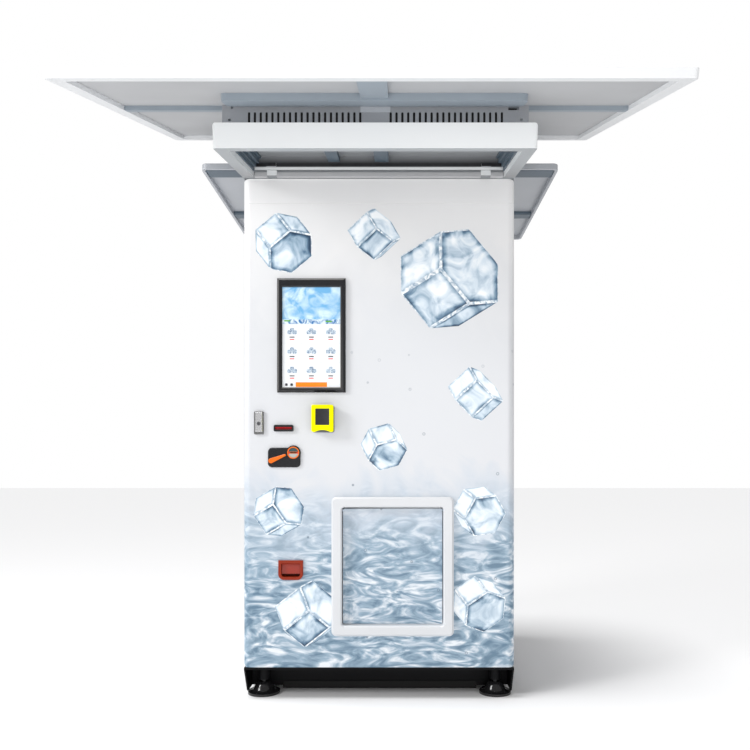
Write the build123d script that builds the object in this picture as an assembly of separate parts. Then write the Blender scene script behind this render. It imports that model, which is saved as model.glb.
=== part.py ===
from build123d import *
import math
import os

# All lengths are in millimetres. While the pieces are modelled, Y is 0 at the cabinet's front face
# and grows to the rear, X is 0 at the cabinet's centre and Z is 0 at the floor.

# Cabinet
CABINET_WIDTH = 1100
CABINET_DEPTH = 1150
CABINET_BOTTOM = 126
CABINET_TOP = 2107
PANEL_THICKNESS = 45
PANEL_EDGE_RADIUS = 8
FLOOR_THICKNESS = 45
SHEET = 3
SEAM = 3

# Door and header
DOOR_THICKNESS = 60
DOOR_TOP = 2004
HEADER_SEAM = 1.2
DOOR_SHEET = 2.5
DOOR_EDGE_RADIUS = 30
DOOR_CORNER_CHAMFER = 9
HEADER_CORNER_RADIUS = 10
GASKET_WIDTH = 16
GASKET_GAP = 8
GASKET_INSET = 15
DOOR_PIN_RADIUS = 6
DOOR_PIN_LENGTH = 26
DOOR_PIN_FROM_SIDE = 14
DOOR_PIN_FROM_BACK = 28
DOOR_PIN_FREE = 5

# Fits
RUNNING_CLEARANCE = 0.05
PART_CLEARANCE = 0.5

# Service recess in the back, with its three ports
SERVICE_X = -330
SERVICE_Z = 330
SERVICE_WIDTH = 240
SERVICE_HEIGHT = 150
SERVICE_CORNER = 12
SERVICE_DEPTH = 28
PORT_COLLAR = 5
PORT_LENGTH = 10
POWER_X = -400
POWER_RADIUS = 17
WATER_X = -330
WATER_RADIUS = 11
DRAIN_X = -265
DRAIN_RADIUS = 14

# Base and feet
BASE_INSET = 3
BASE_PLATE = 8
SKIRT_BOTTOM = 16
SKIRT_FRONT_SETBACK = 66
KICK_SETBACK = 150
FOOT_X = 481
FOOT_SETBACK = 92
FOOT_SLEEVE_RADIUS = 22
FOOT_STEM_RADIUS = 12
FOOT_FLANGE_RADIUS = 66
FOOT_FLANGE_HEIGHT = 20
FOOT_BELL_RADIUS = 37
FOOT_BELL_HEIGHT = 50
FOOT_STEM_TOP = 112
FOOT_BOLT_RADIUS = 5
FOOT_BOLT_CIRCLE = 49

# Roof canopy
ROOF_WIDTH = 1882
ROOF_LENGTH = 1345
ROOF_THICKNESS = 28
ROOF_REACH = 876
ROOF_FRONT_Z = 2052
ROOF_SLOPE = 16.8
ROOF_CORNER_RADIUS = 14
ROOF_FRAME_WIDTH = 45
ROOF_RIB_DEPTH = 15
ROOF_PANEL_THICKNESS = 10
ROOF_CENTRE_RIB = 90
ROOF_MID_RIB = 38
ROOF_MID_RIB_FROM_FRONT = 538
ROOF_BEAM_FROM_FRONT = 304
ROOF_BEAM_WIDTH = 108
ROOF_BEAM_LENGTH = 1006
ROOF_BEAM_DROP = 8
ROOF_POST_X = 420
ROOF_POST_WIDTH = 60
ROOF_POST_LENGTH = 50
ROOF_BRACKET_WIDTH = 102
ROOF_BRACKET_HEIGHT = 22

# Visor over the front
VISOR_WIDTH = 1097
VISOR_HEIGHT = 81
VISOR_REACH = 498
VISOR_FRONT_Z = 2014
VISOR_SLOPE = 10.7
VISOR_RIM = 45
VISOR_SKIN = 4
VISOR_REAR_GAP = 4
VISOR_REAR_WALL = 20
VISOR_CORNER_RADIUS = 12
VISOR_RIB_DEPTH = 22
VISOR_RIB_WIDTHS = (45, 55)
VISOR_RIB_PLACES = (-178, 12)
VISOR_RAIL_WIDTH = 34
VISOR_AXIS_Y = -10
VISOR_AXIS_Z = 2115
VISOR_PIN_RADIUS = 4
VISOR_BAR_LENGTH = 1000
VISOR_BAR_SIZE = 16
VISOR_ARM_X = 430
VISOR_ARM_WIDTH = 40
VISOR_ARM_RISE = 34
VISOR_ARM_REACH = 26
VISOR_NOTCH_PIN = 10
VISOR_RIB_WALL = 4

# Machine housing over the cabinet
HOUSING_TOP = 2380
PLENUM_WIDTH = 1048
PLENUM_REACH = 465
PLENUM_GAP = 3
SLOT_COUNT = 20
SLOT_PITCH = 20
SLOT_WIDTH = 8
SLOT_BOTTOM = 2112
SLOT_TOP = 2152
SLOT_GROUP_X = 242
GRILLE_HOLE_RADIUS = 5
GRILLE_HOLE_X = 499
GRILLE_HOLE_Z = 2125
SIDE_SLOT_COUNT = 14
SIDE_SLOT_PITCH = 44
SIDE_SLOT_WIDTH = 14
SIDE_SLOT_BOTTOM = 2130
SIDE_SLOT_TOP = 2190

# Side wings
WING_REACH = 760
WING_FRONT = 150
WING_BACK = 1130
WING_TOP = 2228
WING_THICKNESS = 24
WING_SHEET = 4
WING_LIP = 12
WING_AXIS_FROM_SIDE = 9
WING_AXIS_RISE = 3
WING_PIN_RADIUS = 4
WING_EYE_RADIUS = 6.5
WING_ROOT_GAP = 10
WING_HINGE_PLACES = (260, 1020)
WING_HINGE_LENGTH = 90
WING_RIB_PLACES = (219, 764)
WING_RIB_WIDTHS = (84, 70)
WING_CORNER_RADIUS = 25

# Pieces on the door: centres from the cabinet's centre line and heights over the floor
SCREEN_X = -272
SCREEN_Z = 1469.5
SCREEN_WIDTH = 276
SCREEN_HEIGHT = 460
SCREEN_PROUD = 20
SCREEN_SIDE_BORDER = 21
SCREEN_TOP_BORDER = 36
SCREEN_BOTTOM_BORDER = 20
SCREEN_BEVEL = 9
GLASS_SETBACK = 9
GLASS_THICKNESS = 6
DISPLAY_DEPTH = 40

LOCK_X = -484
LOCK_Z = 1117
LOCK_WIDTH = 38
LOCK_HEIGHT = 93
LOCK_PROUD = 12
LOCK_WALL = 4
LOCK_DEPTH = 34
LOCK_CYLINDER_RADIUS = 8
LOCK_CYLINDER_DROP = -3
LOCK_CYLINDER_LENGTH = 18
LOCK_LEDGE = 8
LOCK_BACK = 3
LOCK_BOSS_WALL = 2
LOCK_BOSS_LENGTH = 14
LOCK_PADDLE_BACK = -3
LOCK_PIN_LAP = 2
KEYWAY_WIDTH = 2
KEYWAY_HEIGHT = 9
KEYWAY_DEPTH = 8
CAM_LENGTH = 14
CAM_HEIGHT = 6
CAM_THICKNESS = 3
LOCK_PIN_RADIUS = 2
LOCK_PIN_RISE = 13
LOCK_HEEL = 4
LOCK_HOLE_LAP = 2.5

BILL_X = -384
BILL_Z = 1095.5
BILL_WIDTH = 80
BILL_HEIGHT = 27
BILL_PROUD = 14
BILL_SLOT_WIDTH = 70
BILL_SLOT_HEIGHT = 8
BILL_NECK_WALL = 2
BILL_NECK_HEIGHT = 17
BILL_NECK_LENGTH = 90
BILL_CORNER = 6
BILL_SLOT_DEPTH = 40

READER_X = -224
READER_Z = 1132.7
READER_WIDTH = 88
READER_HEIGHT = 108
READER_PROUD = 52
READER_FACE_DEPTH = 12
READER_TAPER = 5
READER_WINDOW_WIDTH = 56
READER_WINDOW_HEIGHT = 66
READER_WINDOW_RISE = 6
READER_WINDOW_SETBACK = 2
READER_WINDOW_THICKNESS = 3
READER_WINDOW_GAP = 0.2
READER_CORNER = 7
READER_LIP_RADIUS = 60
READER_LIP_RISE = 8
SPIGOT_RADIUS = 9
SPIGOT_LENGTH = 30
SPIGOT_CLEARANCE = 3

COIN_X = -382
COIN_Z = 977
COIN_WIDTH = 131
COIN_HEIGHT = 79
COIN_RADIUS = 17
COIN_PROUD = 10
COIN_BOSS_X = -345
COIN_BOSS_Z = 996.5
COIN_BOSS_RADIUS = 29.5
COIN_RING_RADIUS = 24.3
COIN_RING_INNER = 20.6
COIN_SLOT_WIDTH = 29
COIN_SLOT_HEIGHT = 5
COIN_BODY_INSET = 14
COIN_BODY_DROP = 2
COIN_BODY_GAP = 2
BILL_NECK_GAP = 1
DISPLAY_MARGIN = 12
COIN_BODY_LENGTH = 100
COIN_SLOT_DEPTH = 30
COIN_DISC_DEPTH = 6
COIN_RING_PROUD = 3
LEVER_SOCKET = 9
LEVER_X = -434
LEVER_Z = 964
LEVER_TIP_X = -378
LEVER_TIP_Z = 987
LEVER_END_RADIUS = 10
LEVER_TIP_RADIUS = 4
LEVER_THICKNESS = 8
LEVER_SHAFT_RADIUS = 4

CUP_X = -356
CUP_Z = 522.5
CUP_WIDTH = 100
CUP_HEIGHT = 79
CUP_BOTTOM_RADIUS = 24
CUP_PROUD = 10
CUP_DEPTH = 52
CUP_WALL = 4
CUP_RIM = 8
CUP_HOLE_MARGIN = 4
CUP_SHEET_MARGIN = 2
CUP_SHEET_CHAMFER = 6
CUP_FLAP_THICKNESS = 3
CUP_EYE_RADIUS = 3.5
CUP_PIN_RADIUS = 2.5

PICKUP_X = 55.4
PICKUP_Z = 538
PICKUP_WIDTH = 493
PICKUP_HEIGHT = 561
PICKUP_BORDER = 42
PICKUP_PROUD = 20
PICKUP_OUTER_RADIUS = 20
PICKUP_INNER_RADIUS = 10
PICKUP_BEVEL = 8
SLEEVE_WALL = 5.5
FLAP_THICKNESS = 14
FLAP_SETBACK = 14
FLAP_GAP = 3
FLAP_AXIS_DROP = 14
FLAP_PIN_RADIUS = 5
FLAP_STIFFENER = 8

# Store and ice path inside
CASE_DEPTH = 140
POCKET_MARGIN = 4
CASE_MARGIN = 9
CASE_CHAMFER = 18
BAY_DEPTH = 450
BAY_HEIGHT = 555
BAY_SIDE_GAP = 12
BAY_SHEET = 3
BAY_FLOOR_RISE = 34
BAY_CHAMFER = 120
BAY_LEG_INSET = 30
BAY_LEG_WIDTH = 30
BIN_WIDTH = 880
BIN_FRONT = 330
BIN_BACK = 950
BIN_TOP = 1900
BIN_WALL_HEIGHT = 560
BIN_SHEET = 3
BIN_RAIL_RISE = 40
BIN_RAIL_DROP = 60
BIN_RAIL_INSET = 20
AUGER_Z = 1000
AUGER_RADIUS = 70
AUGER_SHAFT_RADIUS = 14
AUGER_PITCH = 110
AUGER_BLADE = 7
AUGER_FRONT_GAP = 12
AUGER_BACK_GAP = 10
AUGER_SHAFT_REACH = 30
TROUGH_GAP = 8
TROUGH_FRONT = 185
OUTLET_LENGTH = 100
CHUTE_TOP_WIDTH = 124
CHUTE_WIDTH = 200
CHUTE_DEPTH = 150
CHUTE_LEAN = 20
CHUTE_LAP = 10
MOTOR_LENGTH = 110
MOTOR_CASE_HALF = 62
MOTOR_CASE_RISE = 110
MOTOR_CASE_DEPTH = 62
MOTOR_CASE_CHAMFER = 14
MOTOR_SOCKET = 34
MOTOR_CAN_RISE = 48
MOTOR_CAN_RADIUS = 44
MOTOR_FIN_REACH = 5
MOTOR_FIN_COUNT = 4
MOTOR_FIN_PITCH = 9
MOTOR_FIN_THICKNESS = 4
MOTOR_FIN_START = 8
DROP_WIDTH = 420
DROP_LENGTH = 240
DROP_FRONT = 480

# Cooling set in the housing
CONDENSER_WIDTH = 940
CONDENSER_HEIGHT = 176
CONDENSER_DEPTH = 56
CONDENSER_FRONT = 44
FIN_PITCH = 20
FIN_THICKNESS = 2.5
FAN_X = 235
FAN_RADIUS = 80
FAN_GAP = 5
FAN_HUB_RADIUS = 26
FAN_HUB_LENGTH = 24
FAN_BLADES = 5
FAN_PITCH_ANGLE = 32
FAN_SHAFT_RADIUS = 4
FAN_MOTOR_RADIUS = 24
FAN_MOTOR_LENGTH = 46
COMPRESSOR_X = 300
COMPRESSOR_Y = 965
COMPRESSOR_RADIUS = 92
COMPRESSOR_HEIGHT = 226
COMPRESSOR_POT_BOTTOM = 18
COMPRESSOR_FLAT_RADIUS = 64.4
COMPRESSOR_LOWER_DOME = 40
COMPRESSOR_UPPER_DOME = 60
COMPRESSOR_PLATE_WIDTH = 240
COMPRESSOR_PLATE_DEPTH = 170
COMPRESSOR_PLATE_CORNER = 20
COMPRESSOR_PLATE_LAP = 4
COMPRESSOR_FOOT_X = 96
COMPRESSOR_FOOT_Y = 62
COMPRESSOR_FOOT_RADIUS = 16
COMPRESSOR_FOOT_HEIGHT = 8
TERMINAL_BOX_HALF = 34
TERMINAL_BOX_BOTTOM = 90
TERMINAL_BOX_TOP = 160
TERMINAL_BOX_REACH = 26
TERMINAL_BOX_LAP = 8
EVAPORATOR_Z = 2165
EVAPORATOR_WIDTH = 380
EVAPORATOR_HEIGHT = 150
EVAPORATOR_THICKNESS = 26
CELL_COLUMNS = 10
CELL_ROWS = 4
CELL_WALL = 3
MOULD_BACK = 4
CHEEK_THICKNESS = 24
CHEEK_FRONT = 50
CHEEK_BACK = 70
TRAY_GAP = 12
TRAY_SIDE_GAP = 4
TRAY_DEPTH = 130
TRAY_HEIGHT = 60
TRAY_CORNER = 14
CONTROL_X = -300
CONTROL_Y = 900
CONTROL_WIDTH = 260
CONTROL_DEPTH = 160
CONTROL_HEIGHT = 200

# Sizes worked out from the ones above
HALF = CABINET_WIDTH / 2
INNER_HALF = HALF - PANEL_THICKNESS
BODY_FRONT = DOOR_THICKNESS + GASKET_GAP
DOOR_BOTTOM = CABINET_BOTTOM + SEAM
ROOF_TAN = math.tan(math.radians(ROOF_SLOPE))
VISOR_TAN = math.tan(math.radians(VISOR_SLOPE))
VISOR_COS = math.cos(math.radians(VISOR_SLOPE))
VISOR_LENGTH = (VISOR_REACH - VISOR_REAR_GAP) / VISOR_COS
ROOF_FRONT_Y = -ROOF_REACH - ROOF_THICKNESS * math.sin(math.radians(ROOF_SLOPE))
SHIFT_Y = -(ROOF_FRONT_Y + CABINET_DEPTH) / 2
DOOR_PIN_X = HALF - DOOR_PIN_FROM_SIDE
DOOR_PIN_Y = DOOR_THICKNESS - DOOR_PIN_FROM_BACK
OPENING_WIDTH = PICKUP_WIDTH - 2 * PICKUP_BORDER
OPENING_HEIGHT = PICKUP_HEIGHT - 2 * PICKUP_BORDER
OPENING_TOP = PICKUP_Z + OPENING_HEIGHT / 2
OPENING_BOTTOM = PICKUP_Z - OPENING_HEIGHT / 2
FLAP_AXIS_Y = FLAP_SETBACK + FLAP_THICKNESS / 2
FLAP_AXIS_Z = OPENING_TOP - FLAP_AXIS_DROP
LOCK_PIN_Z = LOCK_Z - LOCK_HEIGHT / 2 + LOCK_PIN_RISE
CUP_AXIS_Y = 2 * CUP_EYE_RADIUS - 2
CUP_AXIS_Z = CUP_Z + CUP_HEIGHT / 2 - CUP_RIM - CUP_WALL - CUP_EYE_RADIUS - 1
WING_AXIS_X = HALF + WING_AXIS_FROM_SIDE
WING_AXIS_Z = WING_TOP - WING_THICKNESS + WING_AXIS_RISE
TROUGH_RADIUS = AUGER_RADIUS + TROUGH_GAP
FAN_Y = CONDENSER_FRONT + CONDENSER_DEPTH + 24
FAN_Z = CABINET_TOP + CONDENSER_HEIGHT / 2 + 8


def roof_under(y):
    # Height of the roof's underside plane at a place along the depth
    return ROOF_FRONT_Z + (y + ROOF_REACH) * ROOF_TAN


def visor_over(y):
    # Height of the visor's top plane at a place along the depth
    return VISOR_FRONT_Z + (y + VISOR_REACH) * VISOR_TAN + VISOR_HEIGHT / VISOR_COS


def slab(x0, x1, y0, y1, z0, z1):
    # A block between two opposite corners
    middle = Pos((x0 + x1) / 2, (y0 + y1) / 2, (z0 + z1) / 2)
    return middle * Box(x1 - x0, y1 - y0, z1 - z0)


def seen_from_front(sketch, y0, y1):
    # A front view drawn in X and Z, made solid between two depths
    return extrude(Plane.XZ.offset(-y0) * sketch, -(y1 - y0))


def seen_from_side(sketch, x0, x1):
    # A side view drawn in Y and Z, made solid between two widths
    return extrude(Plane.YZ.offset(x0) * sketch, x1 - x0)


def seen_from_top(sketch, z0, z1):
    # A plan drawn in X and Y, made solid between two heights
    return extrude(Plane.XY.offset(z0) * sketch, z1 - z0)


def window(x, z, width, height, radius):
    # A rounded rectangle about its centre
    return Pos(x, z) * RectangleRounded(width, height, radius)


def rod_x(y, z, radius, x0, x1):
    return Pos(0, y, z) * seen_from_side(Circle(radius), x0, x1)


def rod_y(x, z, radius, y0, y1):
    return Pos(x, 0, z) * seen_from_front(Circle(radius), y0, y1)


def rod_z(x, y, radius, z0, z1):
    return Pos(x, y, 0) * seen_from_top(Circle(radius), z0, z1)


def mirrored(shape):
    # The same piece on the other side of the cabinet
    return mirror(shape, Plane.YZ)


def save(node, *solids):
    # The finished machine stands with its bounding box centred on the origin
    placed = [Pos(0, SHIFT_Y, 0) * solid for solid in solids]
    shape = placed[0] if len(placed) == 1 else Compound(placed)
    export_step(shape, f"parts/{node}.step")


def base_frame():
    # Welded black plinth: a deck, two side skirts with raked fronts, kick and rear plates, four leg
    # sleeves and the door's lower pivot pin
    edge = HALF - BASE_INSET
    deck_z = CABINET_BOTTOM - BASE_PLATE
    back = CABINET_DEPTH - BASE_INSET
    base = slab(-edge, edge, BASE_INSET, back, deck_z, CABINET_BOTTOM)
    rake = Polyline(
        (BASE_INSET, deck_z),
        (back, deck_z),
        (back, SKIRT_BOTTOM),
        (SKIRT_FRONT_SETBACK, SKIRT_BOTTOM),
        close=True,
    )
    skirt = seen_from_side(make_face(rake), edge - 2 * SHEET, edge)
    base += skirt
    base += mirrored(skirt)
    for y in (KICK_SETBACK, back - 2 * SHEET):
        base += slab(-edge, edge, y, y + 2 * SHEET, SKIRT_BOTTOM, deck_z)
    for x, y in foot_places():
        base += rod_z(x, y, FOOT_SLEEVE_RADIUS, FOOT_BELL_HEIGHT + 8, deck_z)
        base -= rod_z(x, y, FOOT_STEM_RADIUS + RUNNING_CLEARANCE, 0, FOOT_STEM_TOP + 4)
    base += rod_z(DOOR_PIN_X, DOOR_PIN_Y, DOOR_PIN_RADIUS, deck_z, DOOR_BOTTOM + DOOR_PIN_LENGTH)
    return base + rod_z(DOOR_PIN_X, DOOR_PIN_Y, DOOR_PIN_RADIUS + 4, deck_z, DOOR_BOTTOM - PART_CLEARANCE)


def foot_places():
    back = CABINET_DEPTH - FOOT_SETBACK
    return [(x, y) for y in (FOOT_SETBACK, back) for x in (-FOOT_X, FOOT_X)]


def levelling_foot(x, y):
    # A turned bell on a wide flange, with a screw stem above it and two anchor holes in the flange
    half = Line((0, 0), (FOOT_FLANGE_RADIUS, 0))
    half += Line((FOOT_FLANGE_RADIUS, 0), (FOOT_FLANGE_RADIUS, FOOT_FLANGE_HEIGHT * 0.5))
    half += Spline(
        (FOOT_FLANGE_RADIUS, FOOT_FLANGE_HEIGHT * 0.5),
        (FOOT_BELL_RADIUS + 6, FOOT_FLANGE_HEIGHT),
        (FOOT_BELL_RADIUS - 3, FOOT_BELL_HEIGHT - 12),
        (FOOT_SLEEVE_RADIUS + 1, FOOT_BELL_HEIGHT),
    )
    half += Polyline(
        (FOOT_SLEEVE_RADIUS + 1, FOOT_BELL_HEIGHT),
        (FOOT_STEM_RADIUS, FOOT_BELL_HEIGHT),
        (FOOT_STEM_RADIUS, FOOT_STEM_TOP),
        (0, FOOT_STEM_TOP),
        (0, 0),
    )
    foot = revolve(Plane.XZ * make_face(half), Axis.Z)
    for side in (-1, 1):
        foot -= rod_z(side * FOOT_BOLT_CIRCLE, 0, FOOT_BOLT_RADIUS, 0, FOOT_BELL_HEIGHT)
    return Pos(x, y, 0) * foot


def side_panel():
    # Right-hand insulated wall with rounded rear edge; the left one is its mirror image
    wall = slab(INNER_HALF, HALF, BODY_FRONT, CABINET_DEPTH, CABINET_BOTTOM, CABINET_TOP)
    uprights = wall.edges().filter_by(Axis.Z).group_by(Axis.Y)[-1]
    return fillet(uprights.sort_by(Axis.X)[-1], PANEL_EDGE_RADIUS)


def rear_panel():
    # Insulated back with a recessed service box that holds the power inlet, water inlet and drain
    front = CABINET_DEPTH - PANEL_THICKNESS
    wall = slab(-INNER_HALF, INNER_HALF, front, CABINET_DEPTH, CABINET_BOTTOM, CABINET_TOP)
    recess_face = CABINET_DEPTH - SERVICE_DEPTH
    recess = window(SERVICE_X, SERVICE_Z, SERVICE_WIDTH, SERVICE_HEIGHT, SERVICE_CORNER)
    wall -= seen_from_front(recess, recess_face, CABINET_DEPTH + 1)
    for x, radius in ((POWER_X, POWER_RADIUS), (WATER_X, WATER_RADIUS), (DRAIN_X, DRAIN_RADIUS)):
        wall += rod_y(x, SERVICE_Z, radius + PORT_COLLAR, recess_face, recess_face + PORT_LENGTH)
        wall -= rod_y(x, SERVICE_Z, radius, front - 1, CABINET_DEPTH)
    return wall


def floor_panel():
    back = CABINET_DEPTH - PANEL_THICKNESS
    top = CABINET_BOTTOM + FLOOR_THICKNESS
    return slab(-INNER_HALF, INNER_HALF, BODY_FRONT, back, CABINET_BOTTOM, top)


def top_deck():
    # Insulated ceiling with the hole that the ice falls through
    back = CABINET_DEPTH - PANEL_THICKNESS
    lintel_back = BODY_FRONT + PANEL_THICKNESS
    deck = slab(-INNER_HALF, INNER_HALF, lintel_back, back, CABINET_TOP - PANEL_THICKNESS, CABINET_TOP)
    drop_back = DROP_FRONT + DROP_LENGTH
    hole = slab(-DROP_WIDTH / 2, DROP_WIDTH / 2, DROP_FRONT, drop_back, 0, CABINET_TOP + 1)
    return deck - hole


def header_panel():
    # Fixed strip over the door, with the lintel that the door's gasket meets and the upper pivot pin
    plan = slab(-HALF, HALF, 0, BODY_FRONT, DOOR_TOP + HEADER_SEAM, CABINET_TOP)
    uprights = [e for e in plan.edges().filter_by(Axis.Z) if e.center().Y < 1]
    header = fillet(uprights, DOOR_EDGE_RADIUS)
    top_ends = [e for e in header.edges().filter_by(Axis.Y) if e.center().Z > CABINET_TOP - 1]
    header = fillet(top_ends, HEADER_CORNER_RADIUS) if top_ends else header
    lintel_back = BODY_FRONT + PANEL_THICKNESS
    lintel_bottom = DOOR_TOP - 2 * PANEL_THICKNESS
    header += slab(-INNER_HALF, INNER_HALF, BODY_FRONT, lintel_back, lintel_bottom, CABINET_TOP)
    pin_bottom = DOOR_TOP - DOOR_PIN_LENGTH
    return header + rod_z(DOOR_PIN_X, DOOR_PIN_Y, DOOR_PIN_RADIUS, pin_bottom, DOOR_TOP + HEADER_SEAM)


def hopper(inset):
    # Walls of the ice bin: straight above, drawn in to the width of the auger's trough below
    x_top = BIN_WIDTH / 2 - inset
    front = BIN_FRONT + inset
    back = BIN_BACK - inset
    neck = TROUGH_RADIUS + BIN_SHEET - inset
    knee = BIN_TOP - BIN_WALL_HEIGHT
    middle = (front + back) / 2
    length = back - front
    upper = slab(-x_top, x_top, front, back, knee, BIN_TOP + inset)
    top_face = Pos(0, middle, knee) * Rectangle(2 * x_top, length)
    low_face = Pos(PICKUP_X, middle, AUGER_Z) * Rectangle(2 * neck, length)
    return upper + loft([low_face, top_face])


def ice_bin():
    # Stainless bin with a round-bottomed trough that runs on to the outlet at its front end
    radius = TROUGH_RADIUS + BIN_SHEET
    outer_front = TROUGH_FRONT - BIN_SHEET
    shell = hopper(0)
    shell += rod_y(PICKUP_X, AUGER_Z, radius, outer_front, BIN_BACK)
    hollow = hopper(BIN_SHEET)
    hollow += rod_y(PICKUP_X, AUGER_Z, TROUGH_RADIUS, TROUGH_FRONT, BIN_BACK - BIN_SHEET)
    shell -= hollow
    outlet_x0 = PICKUP_X - AUGER_RADIUS + 10
    outlet_x1 = PICKUP_X + AUGER_RADIUS - 10
    outlet_y = TROUGH_FRONT + 10
    bottom = AUGER_Z - radius - 10
    shell -= slab(outlet_x0, outlet_x1, outlet_y, outlet_y + OUTLET_LENGTH, bottom, AUGER_Z - 20)
    shaft = AUGER_SHAFT_RADIUS + RUNNING_CLEARANCE
    shell -= rod_y(PICKUP_X, AUGER_Z, shaft, outer_front - 1, BIN_BACK + 1)
    for rail in bin_brackets():
        shell += rail
    return shell


def bin_brackets():
    # Two rails on the side walls that carry the bin, with webs down to its knee
    knee = BIN_TOP - BIN_WALL_HEIGHT
    high = knee + BIN_RAIL_RISE
    low = knee - BIN_RAIL_DROP
    half = BIN_WIDTH / 2
    outline = Polyline(
        (half, high),
        (INNER_HALF, high),
        (INNER_HALF, low),
        (INNER_HALF - SHEET, low),
        (INNER_HALF - SHEET, high - SHEET),
        (half, high - SHEET),
        close=True,
    )
    rail = seen_from_front(make_face(outline), BIN_FRONT + BIN_RAIL_INSET, BIN_BACK - BIN_RAIL_INSET)
    return rail, mirrored(rail)


def ice_auger():
    # A twisted blade on a through shaft, which pushes the cubes towards the outlet
    start = TROUGH_FRONT + AUGER_FRONT_GAP
    stop = BIN_BACK - BIN_SHEET - AUGER_BACK_GAP
    turns = (stop - start) / AUGER_PITCH
    blade = Rectangle(2 * AUGER_RADIUS, AUGER_BLADE)
    blade = Plane.XZ.offset(-start) * blade
    flight = Solid.extrude_linear_with_rotation(
        blade.face(), (0, start, 0), (0, stop - start, 0), 360 * turns / 2
    )
    shaft_back = BIN_BACK + AUGER_SHAFT_REACH
    shaft = seen_from_front(Circle(AUGER_SHAFT_RADIUS), TROUGH_FRONT - BIN_SHEET, shaft_back)
    return Pos(PICKUP_X, 0, AUGER_Z) * (flight + shaft)


def auger_motor():
    # Geared motor bolted to the bin's back: a gear case with chamfered edges and a finned motor can
    half = MOTOR_CASE_HALF
    case_back = BIN_BACK + MOTOR_CASE_DEPTH
    case_top = AUGER_Z + MOTOR_CASE_RISE
    case = slab(PICKUP_X - half, PICKUP_X + half, BIN_BACK, case_back, AUGER_Z - half, case_top)
    case = chamfer(case.edges().filter_by(Axis.Y), MOTOR_CASE_CHAMFER)
    bore = AUGER_SHAFT_RADIUS + RUNNING_CLEARANCE
    case -= rod_y(PICKUP_X, AUGER_Z, bore, BIN_BACK - 1, BIN_BACK + MOTOR_SOCKET)
    can_z = AUGER_Z + MOTOR_CAN_RISE
    can = rod_y(PICKUP_X, can_z, MOTOR_CAN_RADIUS, case_back, BIN_BACK + MOTOR_LENGTH)
    for k in range(MOTOR_FIN_COUNT):
        y = case_back + MOTOR_FIN_START + k * MOTOR_FIN_PITCH
        can += rod_y(PICKUP_X, can_z, MOTOR_CAN_RADIUS + MOTOR_FIN_REACH, y, y + MOTOR_FIN_THICKNESS)
    return case + can


def bay_roof():
    return OPENING_BOTTOM + BAY_HEIGHT


def ice_chute():
    # Funnel that saddles the trough at the auger's outlet and drops into the delivery bay
    high_z = AUGER_Z - TROUGH_RADIUS / 2
    low_z = bay_roof() - CHUTE_LAP
    middle = TROUGH_FRONT + CHUTE_LAP + OUTLET_LENGTH / 2
    solids = []
    for inset in (0, BIN_SHEET):
        high = Rectangle(CHUTE_TOP_WIDTH - 2 * inset, OUTLET_LENGTH + 2 * CHUTE_LAP - 2 * inset)
        low = Rectangle(CHUTE_WIDTH - 2 * inset, CHUTE_DEPTH - 2 * inset)
        high = Pos(PICKUP_X, middle, high_z + inset) * high
        low = Pos(PICKUP_X, middle + CHUTE_LEAN, low_z - inset) * low
        solids.append(loft([low, high]))
    trough = rod_y(PICKUP_X, AUGER_Z, TROUGH_RADIUS + BIN_SHEET, 0, BIN_BACK)
    return solids[0] - solids[1] - trough


def delivery_bay():
    # Welded sheet bay on two legs behind the pick-up flap, open to the door, with a chute hole in its roof
    half = OPENING_WIDTH / 2 + BAY_SIDE_GAP
    low = OPENING_BOTTOM - BAY_SIDE_GAP
    front, back = bay_reach()
    outer = bay_bends(0)
    inner = bay_bends(BAY_SHEET)
    pieces = []
    for start in range(len(outer) - 1):
        end = start + 1
        section = make_face(Polyline(outer[start], outer[end], inner[end], inner[start], close=True))
        pieces.append(seen_from_side(section, PICKUP_X - half, PICKUP_X + half))
    middle = TROUGH_FRONT + CHUTE_LAP + OUTLET_LENGTH / 2 + CHUTE_LEAN
    hole_x = CHUTE_WIDTH / 2 + PART_CLEARANCE
    hole_y = CHUTE_DEPTH / 2 + PART_CLEARANCE
    roof = bay_roof()
    hole = slab(PICKUP_X - hole_x, PICKUP_X + hole_x, middle - hole_y, middle + hole_y, roof - 60, roof + 60)
    pieces = [piece - hole for piece in pieces]
    cheek = make_face(Polyline(*outer, close=True))
    pieces.append(seen_from_side(cheek, PICKUP_X - half - BAY_SHEET, PICKUP_X - half))
    pieces.append(seen_from_side(cheek, PICKUP_X + half, PICKUP_X + half + BAY_SHEET))
    floor = CABINET_BOTTOM + FLOOR_THICKNESS
    leg_front = front + BAY_LEG_INSET
    leg_back = back - BAY_LEG_INSET
    rise = BAY_FLOOR_RISE / BAY_DEPTH
    outline = Polyline(
        (leg_front, floor),
        (leg_back, floor),
        (leg_back, low + rise * (leg_back - front)),
        (leg_front, low + rise * (leg_front - front)),
        close=True,
    )
    for side in (-1, 1):
        x = PICKUP_X + side * (half - BAY_LEG_INSET)
        pieces.append(seen_from_side(make_face(outline), x - BAY_LEG_WIDTH / 2, x + BAY_LEG_WIDTH / 2))
    return pieces


def bay_reach():
    front = BODY_FRONT + 2
    return front, front + BAY_DEPTH


def bay_bends(inset):
    # Corners of the bay seen from the side, from the front of its floor round to the front of its roof
    front, back = bay_reach()
    low = OPENING_BOTTOM - BAY_SIDE_GAP
    high = bay_roof() - inset
    rear = back - inset
    return (
        (front, low + inset),
        (rear, low + BAY_FLOOR_RISE + inset),
        (rear, high - BAY_CHAMFER),
        (rear - BAY_CHAMFER, high),
        (front, high),
    )


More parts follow.
